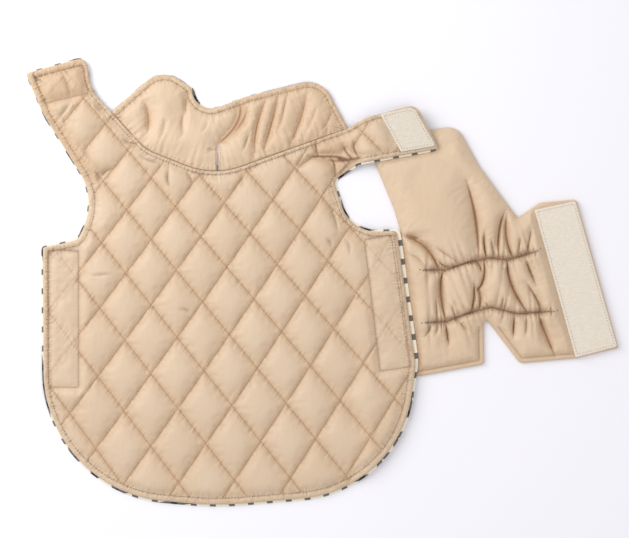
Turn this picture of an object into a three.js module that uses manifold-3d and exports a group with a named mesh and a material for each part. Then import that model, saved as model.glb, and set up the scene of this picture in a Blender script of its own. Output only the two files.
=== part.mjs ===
// Winter coat for a small dog, undone and laid open on a flat surface.
// The quilted back with its two shoulder straps, its lining, the stand collar and the padded
// belly panel are each cut and sewn pieces. Hook and loop tape closes the coat.
// Pattern coordinates are millimetres on the cutting table: x to the right, y down to the hem.
// Row coordinates have the same scale, with +Y towards the collar and +Z up from the table.
import * as THREE from 'three';
import { mergeVertices } from 'three/addons/utils/BufferGeometryUtils.js';
import Module from 'manifold-3d';

const wasm = await Module();
wasm.setup();

// Driving dimensions, in millimetres.
const seamGap = 0.3; // left between pieces that are sewn face to face
const liningThickness = 1.2;
const tapeThickness = 1.4;
const quiltPuff = 5.6; // height of a quilted diamond over its stitching
const stitchedThickness = 1.9; // padded cloth where a stitch line pulls it down
const thinnest = 1.2; // padded cloth at the bottom of a crease
const topstitchInset = 6.4; // the turned edge is stitched down this far in
const edgeStep = 11; // longest straight step along an outline
const arcStep = 7; // longest step round a curve
const smallestRadius = 0.9;
const straightEnough = 0.03; // edges that turn less than this are taken as one line
const stitchReach = 7; // how far a box's stitching flattens the padding beside it
const puffReach = 9; // how far in from the topstitching the padding is full

// A sewn outline is a table of corners, counter-clockwise as seen from above. Each corner has a
// rounding radius, and shows is how far the lining reaches past the edge that starts there.
const backCorners = [
  { at: 'strap tip, outer', x: 25.6, y: 73.4, radius: 2.5, shows: 0.8 },
  { at: 'left strap, outer', x: 43.6, y: 115, radius: 90, shows: 1.2 },
  { at: 'armhole, top', x: 96.2, y: 199, radius: 58, shows: 1.5 },
  { at: 'armhole, foot', x: 77.5, y: 240.3, radius: 11.5, shows: 1.5 },
  { at: 'left underarm', x: 42.8, y: 247.6, radius: 2, shows: 1.8 },
  { at: 'hem, left', x: 43.9, y: 490, radius: 131, shows: 1.6 },
  { at: 'hem, middle', x: 214.2, y: 506, radius: 327, shows: 1.6 },
  { at: 'hem, right', x: 397.4, y: 490.9, radius: 120, shows: 2.2 },
  { at: 'right side', x: 415.8, y: 366, radius: 57, shows: 3.8 },
  { at: 'right underarm', x: 396.6, y: 230.6, radius: 4, shows: 1.8 },
  { at: 'right armhole, foot', x: 350.7, y: 232.9, radius: 37, shows: 1.8 },
  { at: 'right armhole, top', x: 333.4, y: 180.6, radius: 7.3, shows: 2.4 },
  { at: 'strap pit', x: 357.1, y: 163.6, radius: 8, shows: 2.6 },
  { at: 'right strap tip, lower', x: 438.6, y: 148.8, radius: 3, shows: 0 },
  { at: 'right strap tip, upper', x: 416, y: 104.4, radius: 12, shows: 0 },
  { at: 'right shoulder', x: 366, y: 117.6, radius: 20, shows: 0 },
  { at: 'collar end', x: 347, y: 128.5, radius: 25, shows: 0 },
  { at: 'neck, right', x: 213.1, y: 176.4, radius: 79, shows: 0 },
  { at: 'neck, left', x: 145.4, y: 149.2, radius: 47, shows: 0 },
  { at: 'strap root', x: 90.8, y: 89.4, radius: 44, shows: 0 },
  { at: 'strap tip, inner', x: 86.4, y: 56.5, radius: 8.5, shows: 1.2 },
];
const collarCorners = [
  { at: 'left end', x: 106, y: 116, radius: 2, shows: 0 },
  { at: 'under the neck, left', x: 140, y: 160, radius: 5, shows: 0 },
  { at: 'under the neck, middle', x: 218, y: 185, radius: 60, shows: 0 },
  { at: 'under the neck, right', x: 350, y: 132, radius: 3, shows: 0 },
  { at: 'right point', x: 321.2, y: 77.6, radius: 26, shows: 0.9 },
  { at: 'top, right', x: 246.6, y: 96.1, radius: 60, shows: 1.2 },
  { at: 'dip', x: 198.5, y: 114, radius: 19, shows: 2.4 },
  { at: 'left lobe, right', x: 190.5, y: 86.7, radius: 6.7, shows: 2.4 },
  { at: 'left lobe, top', x: 161.6, y: 67.1, radius: 27, shows: 0.6 },
];
const bellyCorners = [
  { at: 'chest, under the strap', x: 366, y: 141, radius: 8 },
  { at: 'chest, left', x: 394.5, y: 210.2, radius: 76 },
  { at: 'side seam, top', x: 402, y: 236, radius: 1 },
  { at: 'seam margin, top', x: 385, y: 242, radius: 3 },
  { at: 'seam margin, bottom', x: 394, y: 381, radius: 3 },
  { at: 'left flap, foot', x: 484.4, y: 364.5, radius: 3 },
  { at: 'notch, left', x: 483.9, y: 325, radius: 4 },
  { at: 'notch', x: 486.3, y: 319, radius: 1.2 },
  { at: 'right flap, foot', x: 520, y: 363.4, radius: 6 },
  { at: 'tape end, left', x: 574.7, y: 358.6, radius: 20 },
  { at: 'tape end, right', x: 619.2, y: 348.2, radius: 2 },
  { at: 'tape end, top', x: 577, y: 199.2, radius: 4 },
  { at: 'flap, top', x: 540, y: 202.7, radius: 13 },
  { at: 'flap pit', x: 518.2, y: 218.2, radius: 2 },
  { at: 'chest, right', x: 478.8, y: 164.5, radius: 60 },
  { at: 'chest, top right', x: 457.4, y: 125.2, radius: 17 },
];

// Diamond quilting: stitch lines join the points of this grid corner to corner. A column is
// half a diamond wide, a row half a diamond high, and both grow a little towards the hem.
const quilt = {
  x: 202.2, y: 301.9, columnWidth: 25.7, columnGrowth: 0.448, rowHeight: 33.68,
  rowGrowth: 0.457, lean: 0.84, tilt: -1.48, tiltEase: 0.062, reach: 9,
};

// The edges of padded cloth: how high it stands, inset by inset, up to the stitching.
const turnedEdge = [
  { inset: 0, rise: 1.4 },
  { inset: 1.8, rise: 3.3 },
  { inset: topstitchInset, rise: stitchedThickness },
  { inset: 9.6, rise: 3.2 },
];
const pillowEdge = [
  { inset: 0, rise: 1.6 },
  { inset: 1.6, rise: 4.2 },
  { inset: 5.2, rise: 7.2 },
];

// What lies under the back lifts it: x and y give where the lift starts and where it is full.
const lifts = [
  { under: 'belly seam margin', height: 4.6, x: [350, 374], y: [200, 232] },
  { under: 'chest', height: 9.4, x: [340, 371], y: [222, 186] },
  { under: 'side loop tape', height: 1.7, x: [102, 88], y: [228, 240], until: [412, 398] },
  { under: 'strap loop tape', height: 1.7, x: [118, 106], y: [130, 116] },
];

// Sewn-through boxes: stitching that holds tape on the far side, and flattens the padding.
const boxes = [
  { holds: 'side loop tape', puff: 0.3, corners: [[48.5, 250], [78.3, 251], [78.3, 387.5], [48.5, 387]] },
  { holds: 'belly seam', puff: 0.3, corners: [[364.5, 240], [394, 234.5], [411, 366.5], [380, 371]] },
  { holds: 'strap loop tape', puff: 0.5, corners: [[34, 77], [82, 65], [87.5, 93], [46, 103]] },
];

// Hook tape lies on the outside of the right strap and along the belly panel's free end.
const strapHook = [
  { x: 379.5, y: 114.6, radius: 1 },
  { x: 389, y: 131, radius: 12 },
  { x: 400.5, y: 152.4, radius: 1 },
  { x: 435.6, y: 146.4, radius: 2 },
  { x: 413.6, y: 107.2, radius: 8 },
];
const bellyHook = [
  { x: 534.4, y: 209.8, radius: 1 },
  { x: 575.6, y: 357.6, radius: 1 },
  { x: 617.4, y: 346.6, radius: 1.5 },
  { x: 575.6, y: 201, radius: 2 },
];
const strapLoop = [
  { x: 35, y: 78, radius: 2 },
  { x: 46.6, y: 102.6, radius: 2 },
  { x: 86.6, y: 92.6, radius: 2 },
  { x: 81.4, y: 66.2, radius: 4 },
];
const sideLoop = [
  { x: 49.4, y: 250.9, radius: 2 },
  { x: 49.4, y: 386.2, radius: 2 },
  { x: 77.4, y: 386.6, radius: 2 },
  { x: 77.4, y: 251.9, radius: 2 },
];

// The two elastic casings that gather the belly panel, as bent lines about 112 mm long.
const elastics = [
  { at: 'upper', line: [[425, 270], [446, 270], [468, 262.5], [490, 258], [508, 260], [536, 251.5]] },
  { at: 'lower', line: [[427, 322.5], [446, 322], [468, 313.5], [491, 307.4], [519, 314], [552, 311.3]] },
];
const elastic = {
  length: 112, width: 5, pull: 0.72, ends: 0.08, gatherSpacing: 7.2, gatherHeight: 1.1,
  gatherAway: 4.5, gatherWidth: 4,
};

// Folds: each runs from x0, y0 past xm, ym to x1, y1. A deep one is a crease, a shallow one soft.
const backFolds = [
  { x0: 310, y0: 157.5, xm: 335, ym: 157.5, x1: 361, y1: 157, width: 2.6, depth: 4.6 },
  { x0: 316.4, y0: 138, xm: 315.8, ym: 146, x1: 318, y1: 155, width: 2.4, depth: 3 },
  { x0: 343.2, y0: 147, xm: 346.5, ym: 153, x1: 350.5, y1: 159, width: 3, depth: 2.6 },
  { x0: 354, y0: 142.5, xm: 355.6, ym: 151, x1: 360, y1: 158, width: 2.6, depth: 3.2 },
  { x0: 330.4, y0: 158, xm: 334, ym: 165, x1: 335, y1: 173, width: 2.6, depth: 3 },
  { x0: 61.5, y0: 71.5, xm: 67.2, ym: 85, x1: 70.6, y1: 97, width: 2.4, depth: 2 },
  { x0: 72, y0: 101, xm: 65, ym: 110, x1: 58, y1: 120, width: 3, depth: 2 },
];
const bellyFolds = [
  { x0: 404, y0: 237, xm: 424, ym: 246, x1: 439, y1: 270, width: 3.4, depth: 5 },
  { x0: 408, y0: 254, xm: 418, ym: 259, x1: 426, y1: 269, width: 3, depth: 2 },
  { x0: 434, y0: 246, xm: 446, ym: 254, x1: 459, y1: 263, width: 3, depth: 2.2 },
  { x0: 466, y0: 182, xm: 480, ym: 222, x1: 478.5, y1: 256, width: 5, depth: 4 },
  { x0: 503, y0: 212, xm: 498, ym: 232, x1: 495, y1: 256, width: 4, depth: 3.6 },
  { x0: 505, y0: 214, xm: 509, ym: 238, x1: 514.5, y1: 257, width: 3.4, depth: 3.8 },
  { x0: 531, y0: 228, xm: 529, ym: 242, x1: 526, y1: 255, width: 3, depth: 2 },
  { x0: 439, y0: 272, xm: 440.5, ym: 292, x1: 446, y1: 321, width: 2.8, depth: 6.5 },
  { x0: 482.5, y0: 261, xm: 481.5, ym: 284, x1: 478, y1: 309, width: 3.6, depth: 7.5 },
  { x0: 508, y0: 261, xm: 512.5, ym: 283, x1: 526.5, y1: 311, width: 2.8, depth: 6 },
  { x0: 524, y0: 257, xm: 530, ym: 272, x1: 535, y1: 284, width: 3.2, depth: 2.6 },
  { x0: 527, y0: 278, xm: 534, ym: 294, x1: 540.5, y1: 311, width: 3.4, depth: 3 },
  { x0: 434, y0: 298, xm: 435, ym: 310, x1: 436.5, y1: 322, width: 2.8, depth: 2.2 },
  { x0: 474, y0: 284, xm: 474, ym: 298, x1: 470.5, y1: 312, width: 3, depth: 2.6 },
  { x0: 446, y0: 326, xm: 448, ym: 334, x1: 449, y1: 344, width: 3, depth: 2.8 },
  { x0: 459, y0: 321, xm: 465, ym: 326, x1: 472, y1: 334, width: 3, depth: 1.8 },
  { x0: 515, y0: 316, xm: 516, ym: 325, x1: 516, y1: 336, width: 3, depth: 2.6 },
  { x0: 539, y0: 317, xm: 545, ym: 332, x1: 556, y1: 358, width: 3.4, depth: 3.4 },
];
const collarFolds = [
  { x0: 144, y0: 101, xm: 147, ym: 118, x1: 147, y1: 134, width: 3, depth: 1.8 },
  { x0: 188, y0: 94, xm: 185, ym: 112, x1: 184, y1: 138, width: 3, depth: 2 },
  { x0: 239.5, y0: 105, xm: 236, ym: 124, x1: 218, y1: 143.5, width: 4, depth: 4.4 },
  { x0: 208, y0: 122, xm: 206, ym: 126, x1: 202, y1: 132, width: 3.4, depth: 1.4 },
  { x0: 249, y0: 132, xm: 246, ym: 142, x1: 242, y1: 152, width: 3, depth: 2 },
  { x0: 264.7, y0: 102, xm: 256, ym: 130, x1: 255, y1: 152, width: 3.4, depth: 3 },
  { x0: 278, y0: 98, xm: 270, ym: 128, x1: 264, y1: 148, width: 3.4, depth: 2.6 },
  { x0: 288, y0: 92, xm: 283, ym: 112, x1: 277, y1: 132, width: 3.2, depth: 1.8 },
  { x0: 306, y0: 97, xm: 300, ym: 120, x1: 291, y1: 142, width: 3.4, depth: 2.6 },
  { x0: 317, y0: 106, xm: 312, ym: 118, x1: 304, y1: 136, width: 3.2, depth: 2 },
  { x0: 331, y0: 113, xm: 327, ym: 122, x1: 321, y1: 130, width: 3, depth: 1.8 },
];
// The leash slit in the collar, just above the neck seam.
const slit = { x: 218.2, top: 144, bottom: 168, width: 2.4, depth: 3.6 };

const clamp = THREE.MathUtils.clamp;
const ramp = (value, from, to) => THREE.MathUtils.smoothstep((value - from) / (to - from), 0, 1);
const bell = (distance, width) => Math.exp(-((distance / width) ** 2));
const point = (x, y) => new THREE.Vector2(x, y);

// Samples an outline with every edge moved out by move(corner). The counts depend on the table
// alone, so that all the loops of one piece match point by point.
function traceLoop(corners, move = () => 0) {
  const count = corners.length;
  const places = corners.map((c) => point(c.x, c.y));
  const along = places.map((p, i) => places[(i + 1) % count].clone().sub(p).normalize());
  const out = along.map((d) => point(-d.y, d.x));
  const moves = corners.map(move);
  const moved = places.map((p, i) => {
    const before = (i + count - 1) % count;
    const across = along[before].cross(along[i]);
    if (Math.abs(across) < straightEnough) return p.clone().addScaledVector(out[i], moves[i]);
    const a = p.clone().addScaledVector(out[before], moves[before]);
    const b = p.clone().addScaledVector(out[i], moves[i]);
    return a.addScaledVector(along[before], b.clone().sub(a).cross(along[i]) / across);
  });
  const arcs = corners.map((c, i) => {
    const before = (i + count - 1) % count;
    const across = along[before].cross(along[i]);
    const turn = Math.acos(clamp(along[before].dot(along[i]), -1, 1));
    const convex = across < 0;
    const shift = (moves[before] + moves[i]) / 2;
    const radius = Math.max(c.radius + (convex ? shift : -shift), smallestRadius);
    const reach = radius * Math.tan(turn / 2);
    const steps = Math.max(2, Math.ceil((c.radius * turn) / arcStep));
    const start = moved[i].clone().addScaledVector(along[before], -reach);
    const side = point(-along[before].y, along[before].x).multiplyScalar(Math.sign(across));
    const centre = start.clone().addScaledVector(side, radius);
    return { start, centre, angle: Math.sign(across) * turn, steps, base: c.radius * Math.tan(turn / 2) };
  });
  const loop = [];
  arcs.forEach((arc, i) => {
    for (let k = 0; k <= arc.steps; k += 1) {
      loop.push(arc.start.clone().rotateAround(arc.centre, (arc.angle * k) / arc.steps));
    }
    const next = (i + 1) % count;
    const straight = places[i].distanceTo(places[next]) - arc.base - arcs[next].base;
    const steps = Math.max(1, Math.ceil(straight / edgeStep));
    const from = loop[loop.length - 1];
    for (let k = 1; k < steps; k += 1) loop.push(from.clone().lerp(arcs[next].start, k / steps));
  });
  return loop;
}

// Distance from a point to a polyline, and how far along it the nearest place is, from 0 to 1.
function nearest(x, y, line, closed) {
  let best = Infinity;
  let share = 0;
  const pieces = closed ? line.length : line.length - 1;
  for (let i = 0; i < pieces; i += 1) {
    const a = line[i];
    const b = line[(i + 1) % line.length];
    const dx = b.x - a.x;
    const dy = b.y - a.y;
    const t = clamp(((x - a.x) * dx + (y - a.y) * dy) / (dx * dx + dy * dy || 1), 0, 1);
    const away = Math.hypot(x - a.x - t * dx, y - a.y - t * dy);
    if (away < best) {
      best = away;
      share = (i + t) / pieces;
    }
  }
  return { away: best, share };
}

function inside(x, y, loop) {
  let odd = false;
  loop.forEach((a, i) => {
    const b = loop[(i + 1) % loop.length];
    if (a.y > y !== b.y > y && x < a.x + ((y - a.y) * (b.x - a.x)) / (b.y - a.y)) odd = !odd;
  });
  return odd;
}

// Distance in from a loop: positive inside it, negative outside.
function depthIn(x, y, loop) {
  const { away } = nearest(x, y, loop, true);
  return inside(x, y, loop) ? away : -away;
}

// Triangulates points so that no triangle's circle holds another point.
function delaunay(points) {
  const nudged = points.map((p, i) => ({
    x: p.x + 1e-4 * Math.sin(i * 12.9898),
    y: p.y + 1e-4 * Math.sin(i * 78.233),
  }));
  const far = 1e5;
  const all = [...nudged, { x: -far, y: -far }, { x: far, y: -far }, { x: 0, y: far }];
  const circle = (a, b, c) => {
    const p = all[a];
    const q = { x: all[b].x - p.x, y: all[b].y - p.y };
    const r = { x: all[c].x - p.x, y: all[c].y - p.y };
    const twice = 2 * (q.x * r.y - q.y * r.x);
    const qq = q.x * q.x + q.y * q.y;
    const rr = r.x * r.x + r.y * r.y;
    const ux = (r.y * qq - q.y * rr) / twice;
    const uy = (q.x * rr - r.x * qq) / twice;
    return { a, b, c, x: p.x + ux, y: p.y + uy, rr: ux * ux + uy * uy };
  };
  const n = points.length;
  let triangles = [circle(n, n + 1, n + 2)];
  nudged.forEach((p, i) => {
    const rim = new Map();
    const kept = [];
    triangles.forEach((t) => {
      if ((p.x - t.x) ** 2 + (p.y - t.y) ** 2 > t.rr) {
        kept.push(t);
        return;
      }
      [[t.a, t.b], [t.b, t.c], [t.c, t.a]].forEach(([a, b]) => {
        const back = `${b},${a}`;
        if (rim.has(back)) rim.delete(back);
        else rim.set(`${a},${b}`, [a, b]);
      });
    });
    rim.forEach(([a, b]) => kept.push(circle(a, b, i)));
    triangles = kept;
  });
  return triangles.filter((t) => Math.max(t.a, t.b, t.c) < n).map((t) => [t.a, t.b, t.c]);
}

// One face of a panel: nested loops joined ring by ring, and free points inside the last loop.
function facePlan(loops, free) {
  const count = loops[0].length;
  const points = loops.flat();
  const triangles = [];
  for (let ring = 0; ring + 1 < loops.length; ring += 1) {
    for (let i = 0; i < count; i += 1) {
      const next = (i + 1) % count;
      const a = ring * count + i;
      const b = ring * count + next;
      triangles.push([a, b, b + count], [a, b + count, a + count]);
    }
  }
  const last = loops[loops.length - 1];
  const start = (loops.length - 1) * count;
  const spots = [...last, ...free];
  points.push(...free);
  delaunay(spots).forEach(([a, b, c]) => {
    const x = (spots[a].x + spots[b].x + spots[c].x) / 3;
    const y = (spots[a].y + spots[b].y + spots[c].y) / 3;
    const turn = (spots[b].x - spots[a].x) * (spots[c].y - spots[a].y)
      - (spots[b].y - spots[a].y) * (spots[c].x - spots[a].x);
    if (!inside(x, y, last)) return;
    triangles.push(turn < 0 ? [a + start, b + start, c + start] : [a + start, c + start, b + start]);
  });
  return { points, triangles, rim: count };
}

// A closed solid between an upper and a lower face that share their outermost loop.
function panelGeometry(upper, lower, topAt, bottomAt) {
  const positions = [];
  upper.points.forEach((p) => positions.push(p.x, -p.y, topAt(p)));
  lower.points.forEach((p) => positions.push(p.x, -p.y, bottomAt(p)));
  const base = upper.points.length;
  const index = [];
  upper.triangles.forEach(([a, b, c]) => index.push(a, b, c));
  lower.triangles.forEach(([a, b, c]) => index.push(base + a, base + c, base + b));
  for (let i = 0; i < upper.rim; i += 1) {
    const next = (i + 1) % upper.rim;
    index.push(i, base + i, base + next, i, base + next, next);
  }
  return new THREE.BufferGeometry()
    .setAttribute('position', new THREE.Float32BufferAttribute(positions, 3))
    .setIndex(index);
}

// An upright prism on a loop, for cutting.
function prism(loop, low, high) {
  const shape = new THREE.Shape(loop.map((p) => point(p.x, -p.y)));
  const geometry = new THREE.ExtrudeGeometry(shape, { depth: high - low, bevelEnabled: false, steps: 1 });
  return geometry.translate(0, 0, low);
}

function solidOf(geometry) {
  const bare = geometry.clone();
  bare.deleteAttribute('normal');
  bare.deleteAttribute('uv');
  const merged = mergeVertices(bare, 1e-4);
  return new wasm.Manifold(new wasm.Mesh({
    numProp: 3,
    vertProperties: merged.attributes.position.array,
    triVerts: new Uint32Array(merged.index.array),
  }));
}

function cutAway(geometry, tool) {
  const mesh = solidOf(geometry).subtract(solidOf(tool)).getMesh();
  return new THREE.BufferGeometry()
    .setAttribute('position', new THREE.BufferAttribute(mesh.vertProperties, 3))
    .setIndex(new THREE.BufferAttribute(mesh.triVerts, 1));
}

// Free points on a triangular grid, kept clear of the loop and of points that are already there.
function gridPoints(loop, spacing, margin, taken = [], clear = spacing * 0.6) {
  const box = new THREE.Box2().setFromPoints(loop);
  const found = [];
  const rowHeight = spacing * Math.sqrt(0.75);
  for (let row = 0; row * rowHeight < box.max.y - box.min.y; row += 1) {
    for (let column = 0; column * spacing < box.max.x - box.min.x; column += 1) {
      const x = box.min.x + (column + (row % 2) / 2) * spacing;
      const y = box.min.y + row * rowHeight;
      const free = taken.every((p) => Math.hypot(p.x - x, p.y - y) > clear);
      if (free && depthIn(x, y, loop) > margin) found.push(point(x, y));
    }
  }
  return found;
}

function pointsAlong(line, spacing, sideways = 0) {
  const found = [];
  for (let i = 0; i + 1 < line.length; i += 1) {
    const a = line[i];
    const b = line[i + 1];
    const length = a.distanceTo(b);
    const normal = point(-(b.y - a.y) / length, (b.x - a.x) / length);
    const steps = Math.max(1, Math.round(length / spacing));
    for (let k = i === 0 ? 0 : 1; k <= steps; k += 1) {
      found.push(a.clone().lerp(b, k / steps).addScaledVector(normal, sideways));
    }
  }
  return found;
}

// Points along a table's outline, moved out.
function ringPoints(corners, distance, spacing) {
  const loop = traceLoop(corners, () => distance);
  return pointsAlong([...loop, loop[0]], spacing);
}

// Keeps the points of a list that are at least clear apart and well inside a loop.
function thinOut(points, loop, margin, clear) {
  const kept = [];
  points.forEach((p) => {
    if (depthIn(p.x, p.y, loop) < margin) return;
    if (kept.every((other) => other.distanceTo(p) > clear)) kept.push(p);
  });
  return kept;
}

// Where a place lies in the quilting, counted in half diamonds across and down.
function quiltPlace(x, y) {
  let across = 0;
  let down = 0;
  for (let pass = 0; pass < 5; pass += 1) {
    const b = quilt.rowHeight + across * quilt.tiltEase;
    const c = quilt.y + across * quilt.tilt - y;
    down = (-b + Math.sqrt(b * b - 4 * quilt.rowGrowth * c)) / (2 * quilt.rowGrowth);
    across = (x - quilt.x - quilt.lean * down) / (quilt.columnWidth + quilt.columnGrowth * down);
  }
  return { rising: (across + down) / 2, falling: (across - down) / 2 };
}

function quiltPoint(rising, falling) {
  const across = rising + falling;
  const down = rising - falling;
  return point(
    quilt.x + quilt.lean * down + across * (quilt.columnWidth + quilt.columnGrowth * down),
    quilt.y + quilt.rowHeight * down + quilt.rowGrowth * down * down
      + across * (quilt.tilt + quilt.tiltEase * down),
  );
}

// The diamonds' swell: 0 on the stitch lines and 1 in the middle of a diamond.
function quiltSwell(x, y) {
  const { rising, falling } = quiltPlace(x, y);
  return Math.sqrt(Math.abs(Math.sin(Math.PI * rising) * Math.sin(Math.PI * falling)));
}

function quiltPoints(loop, margin) {
  const shares = [0, 0.17, 0.5, 0.83];
  const found = [];
  for (let r = -quilt.reach; r < quilt.reach; r += 1) {
    for (let f = -quilt.reach; f < quilt.reach; f += 1) {
      shares.forEach((u) => shares.forEach((v) => {
        const p = quiltPoint(r + u, f + v);
        if (depthIn(p.x, p.y, loop) > margin) found.push(p);
      }));
    }
  }
  return found;
}

const boxLoops = boxes.map((b) => ({ ...b, loop: b.corners.map(([x, y]) => point(x, y)) }));

function boxPuff(x, y) {
  return boxLoops.reduce((share, b) => {
    const depth = depthIn(x, y, b.loop);
    const seam = clamp(Math.abs(depth) / stitchReach, 0, 1);
    return share * (depth > 0 ? b.puff * seam : seam);
  }, 1);
}

function liftAt(x, y) {
  return lifts.reduce((highest, l) => {
    let share = ramp(x, ...l.x) * ramp(y, ...l.y);
    if (l.until) share *= ramp(y, ...l.until);
    return Math.max(highest, l.height * share);
  }, 0);
}

function foldLine(f) {
  const middle = point(2 * f.xm - (f.x0 + f.x1) / 2, 2 * f.ym - (f.y0 + f.y1) / 2);
  return new THREE.QuadraticBezierCurve(point(f.x0, f.y0), middle, point(f.x1, f.y1)).getPoints(6);
}

// How far the folds of a table pull the cloth down at a place.
function foldDepth(folds, x, y) {
  return folds.reduce((sum, f) => {
    const { away, share } = nearest(x, y, f.line, false);
    const taper = Math.sqrt(Math.sin(Math.PI * clamp(share, 0.04, 0.96)));
    return sum + f.depth * taper * bell(away, f.width);
  }, 0);
}

function creasePoints(fold, sides) {
  return [0, -sides, sides].flatMap((side) => pointsAlong(fold.line, 6, side * fold.width));
}

const withLines = (folds) => folds.map((f) => ({ ...f, line: foldLine(f) }));

// The height of cloth with a sewn edge, before puff and folds are added.
function edgeRise(profile, depth) {
  const last = profile[profile.length - 1];
  if (depth >= last.inset) return last.rise;
  const next = profile.findIndex((row) => row.inset > depth);
  const a = profile[Math.max(next - 1, 0)];
  const b = profile[next];
  return THREE.MathUtils.mapLinear(Math.max(depth, a.inset), a.inset, b.inset, a.rise, b.rise);
}

function edgeLoops(corners, profile) {
  return profile.map((row) => traceLoop(corners, () => -row.inset));
}

// The quilted back
const backEdge = traceLoop(backCorners);
const backLoops = edgeLoops(backCorners, turnedEdge);
const backLines = withLines(backFolds);
const strapFlat = { from: 371, to: 377, below: 170, rise: 2.7 };

function backRise(p) {
  const depth = depthIn(p.x, p.y, backEdge);
  const swell = ramp(depth, topstitchInset, topstitchInset + puffReach);
  const puffed = stitchedThickness + quiltPuff * swell * quiltSwell(p.x, p.y) * boxPuff(p.x, p.y);
  const folded = Math.max(puffed - foldDepth(backLines, p.x, p.y), thinnest);
  const rise = depth < topstitchInset ? edgeRise(turnedEdge, depth) : folded;
  if (p.y > strapFlat.below) return rise;
  const flat = Math.min(rise, strapFlat.rise);
  return THREE.MathUtils.lerp(rise, flat, ramp(p.x, strapFlat.from, strapFlat.to));
}

// Points for the plain under faces, only where the lift changes.
function liftedPoints(loop) {
  const spacing = 13;
  const steps = [-spacing, 0, spacing];
  return gridPoints(loop, spacing, 6).filter((p) => {
    const heights = steps.flatMap((i) => steps.map((j) => liftAt(p.x + i, p.y + j)));
    return Math.max(...heights) - Math.min(...heights) > 0.05;
  });
}

const underPoints = liftedPoints(backEdge);
const backBottom = liningThickness + seamGap;
const backUnder = facePlan([backEdge], underPoints);
function backPanel() {
  const last = backLoops[backLoops.length - 1];
  const seams = boxLoops.flatMap((b) => pointsAlong([...b.loop, b.loop[0]], 9));
  const creases = backLines.flatMap((f) => creasePoints(f, 1.3));
  const marked = [...thinOut(creases, last, 2.2, 2.4), ...thinOut(seams, last, 3.2, 4)];
  const diamonds = quiltPoints(last, 3.6).filter((p) => marked.every((q) => q.distanceTo(p) > 3.4));
  const top = facePlan(backLoops, [...marked, ...diamonds]);
  return panelGeometry(
    top, backUnder,
    (p) => backBottom + liftAt(p.x, p.y) + backRise(p),
    (p) => backBottom + liftAt(p.x, p.y),
  );
}

function backLining() {
  const shown = traceLoop(backCorners, (c) => c.shows + 0.02);
  const face = facePlan([shown, backEdge], underPoints);
  return panelGeometry(
    face, face,
    (p) => liningThickness + liftAt(p.x, p.y),
    (p) => liftAt(p.x, p.y),
  );
}

// The stand collar, folded open and lying flat behind the neck seam
const neckTool = prism(traceLoop(backCorners, () => seamGap), -5, 40);
const collarLoops = edgeLoops(collarCorners, turnedEdge.slice(0, 3));
const collarLines = withLines(collarFolds);
const collarPuff = { height: 5.2, reach: 10, atSeam: 0.35, seamReach: 12 };

function collarRise(p) {
  const depth = depthIn(p.x, p.y, collarLoops[0]);
  if (depth < topstitchInset) return edgeRise(turnedEdge, depth);
  const seam = -depthIn(p.x, p.y, backEdge);
  const fromSeam = THREE.MathUtils.lerp(collarPuff.atSeam, 1, ramp(seam, 0, collarPuff.seamReach));
  const swell = fromSeam * ramp(depth, topstitchInset, topstitchInset + collarPuff.reach);
  const folded = stitchedThickness + collarPuff.height * swell - foldDepth(collarLines, p.x, p.y);
  const inSlit = p.y > slit.top && p.y < slit.bottom && Math.abs(p.x - slit.x) < slit.width / 2;
  return Math.max(folded - (inSlit ? slit.depth : 0), thinnest);
}

function collarShell() {
  const last = collarLoops[collarLoops.length - 1];
  const slitSides = [-1.6, -1, 1, 1.6].flatMap((side) => pointsAlong(
    [point(slit.x, slit.top), point(slit.x, slit.bottom)], 6, (side * slit.width) / 2,
  ));
  const lines = collarLines.flatMap((f) => creasePoints(f, 1.3));
  const creases = thinOut([...slitSides, ...lines], last, 2.4, 1.05);
  const top = facePlan(collarLoops, [...creases, ...gridPoints(last, 8, 3, creases, 4)]);
  const under = facePlan([collarLoops[0]], []);
  const whole = panelGeometry(top, under, (p) => backBottom + collarRise(p), () => backBottom);
  return cutAway(whole, neckTool);
}

function collarLining() {
  const face = facePlan([traceLoop(collarCorners, (c) => c.shows)], []);
  return cutAway(panelGeometry(face, face, () => liningThickness, () => 0), neckTool);
}

// The padded belly panel: chest, gathered waist and two flaps, cut in one
const bellyLoops = edgeLoops(bellyCorners, pillowEdge);
const bellyLines = withLines(bellyFolds);
const elasticLines = elastics.map((e) => e.line.map(([x, y]) => point(x, y)));
const bellyHookLoop = traceLoop(bellyHook);
// Its heights: the margin and the chest under the back are held down to marginTop and underStrap,
// and the cloth rises beside them and beside the tape at the slopes given here.
const belly = {
  chest: 9.6, flaps: 7.4, flapsFrom: 312, flapsTo: 340, round: 15, underStitching: 0.6,
  marginTop: 4, marginSlope: 1.3, clearOfBack: 4.6,
  underStrap: 8.6, strapSlope: 0.8, strapBelow: 200,
  tapeFlat: 4.6, tapeSlope: 0.5, clearOfTape: 4.5,
};

function elasticPull(x, y) {
  return elasticLines.reduce((pulled, line) => {
    const { away, share } = nearest(x, y, line, false);
    const ends = ramp(Math.min(share, 1 - share), 0, elastic.ends);
    const wave = elastic.gatherHeight
      * Math.cos((2 * Math.PI * share * elastic.length) / elastic.gatherSpacing);
    return {
      keep: pulled.keep * (1 - elastic.pull * ends * bell(away, elastic.width)),
      wave: pulled.wave + wave * ends * bell(away - elastic.gatherAway, elastic.gatherWidth),
    };
  }, { keep: 1, wave: 0 });
}

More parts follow.
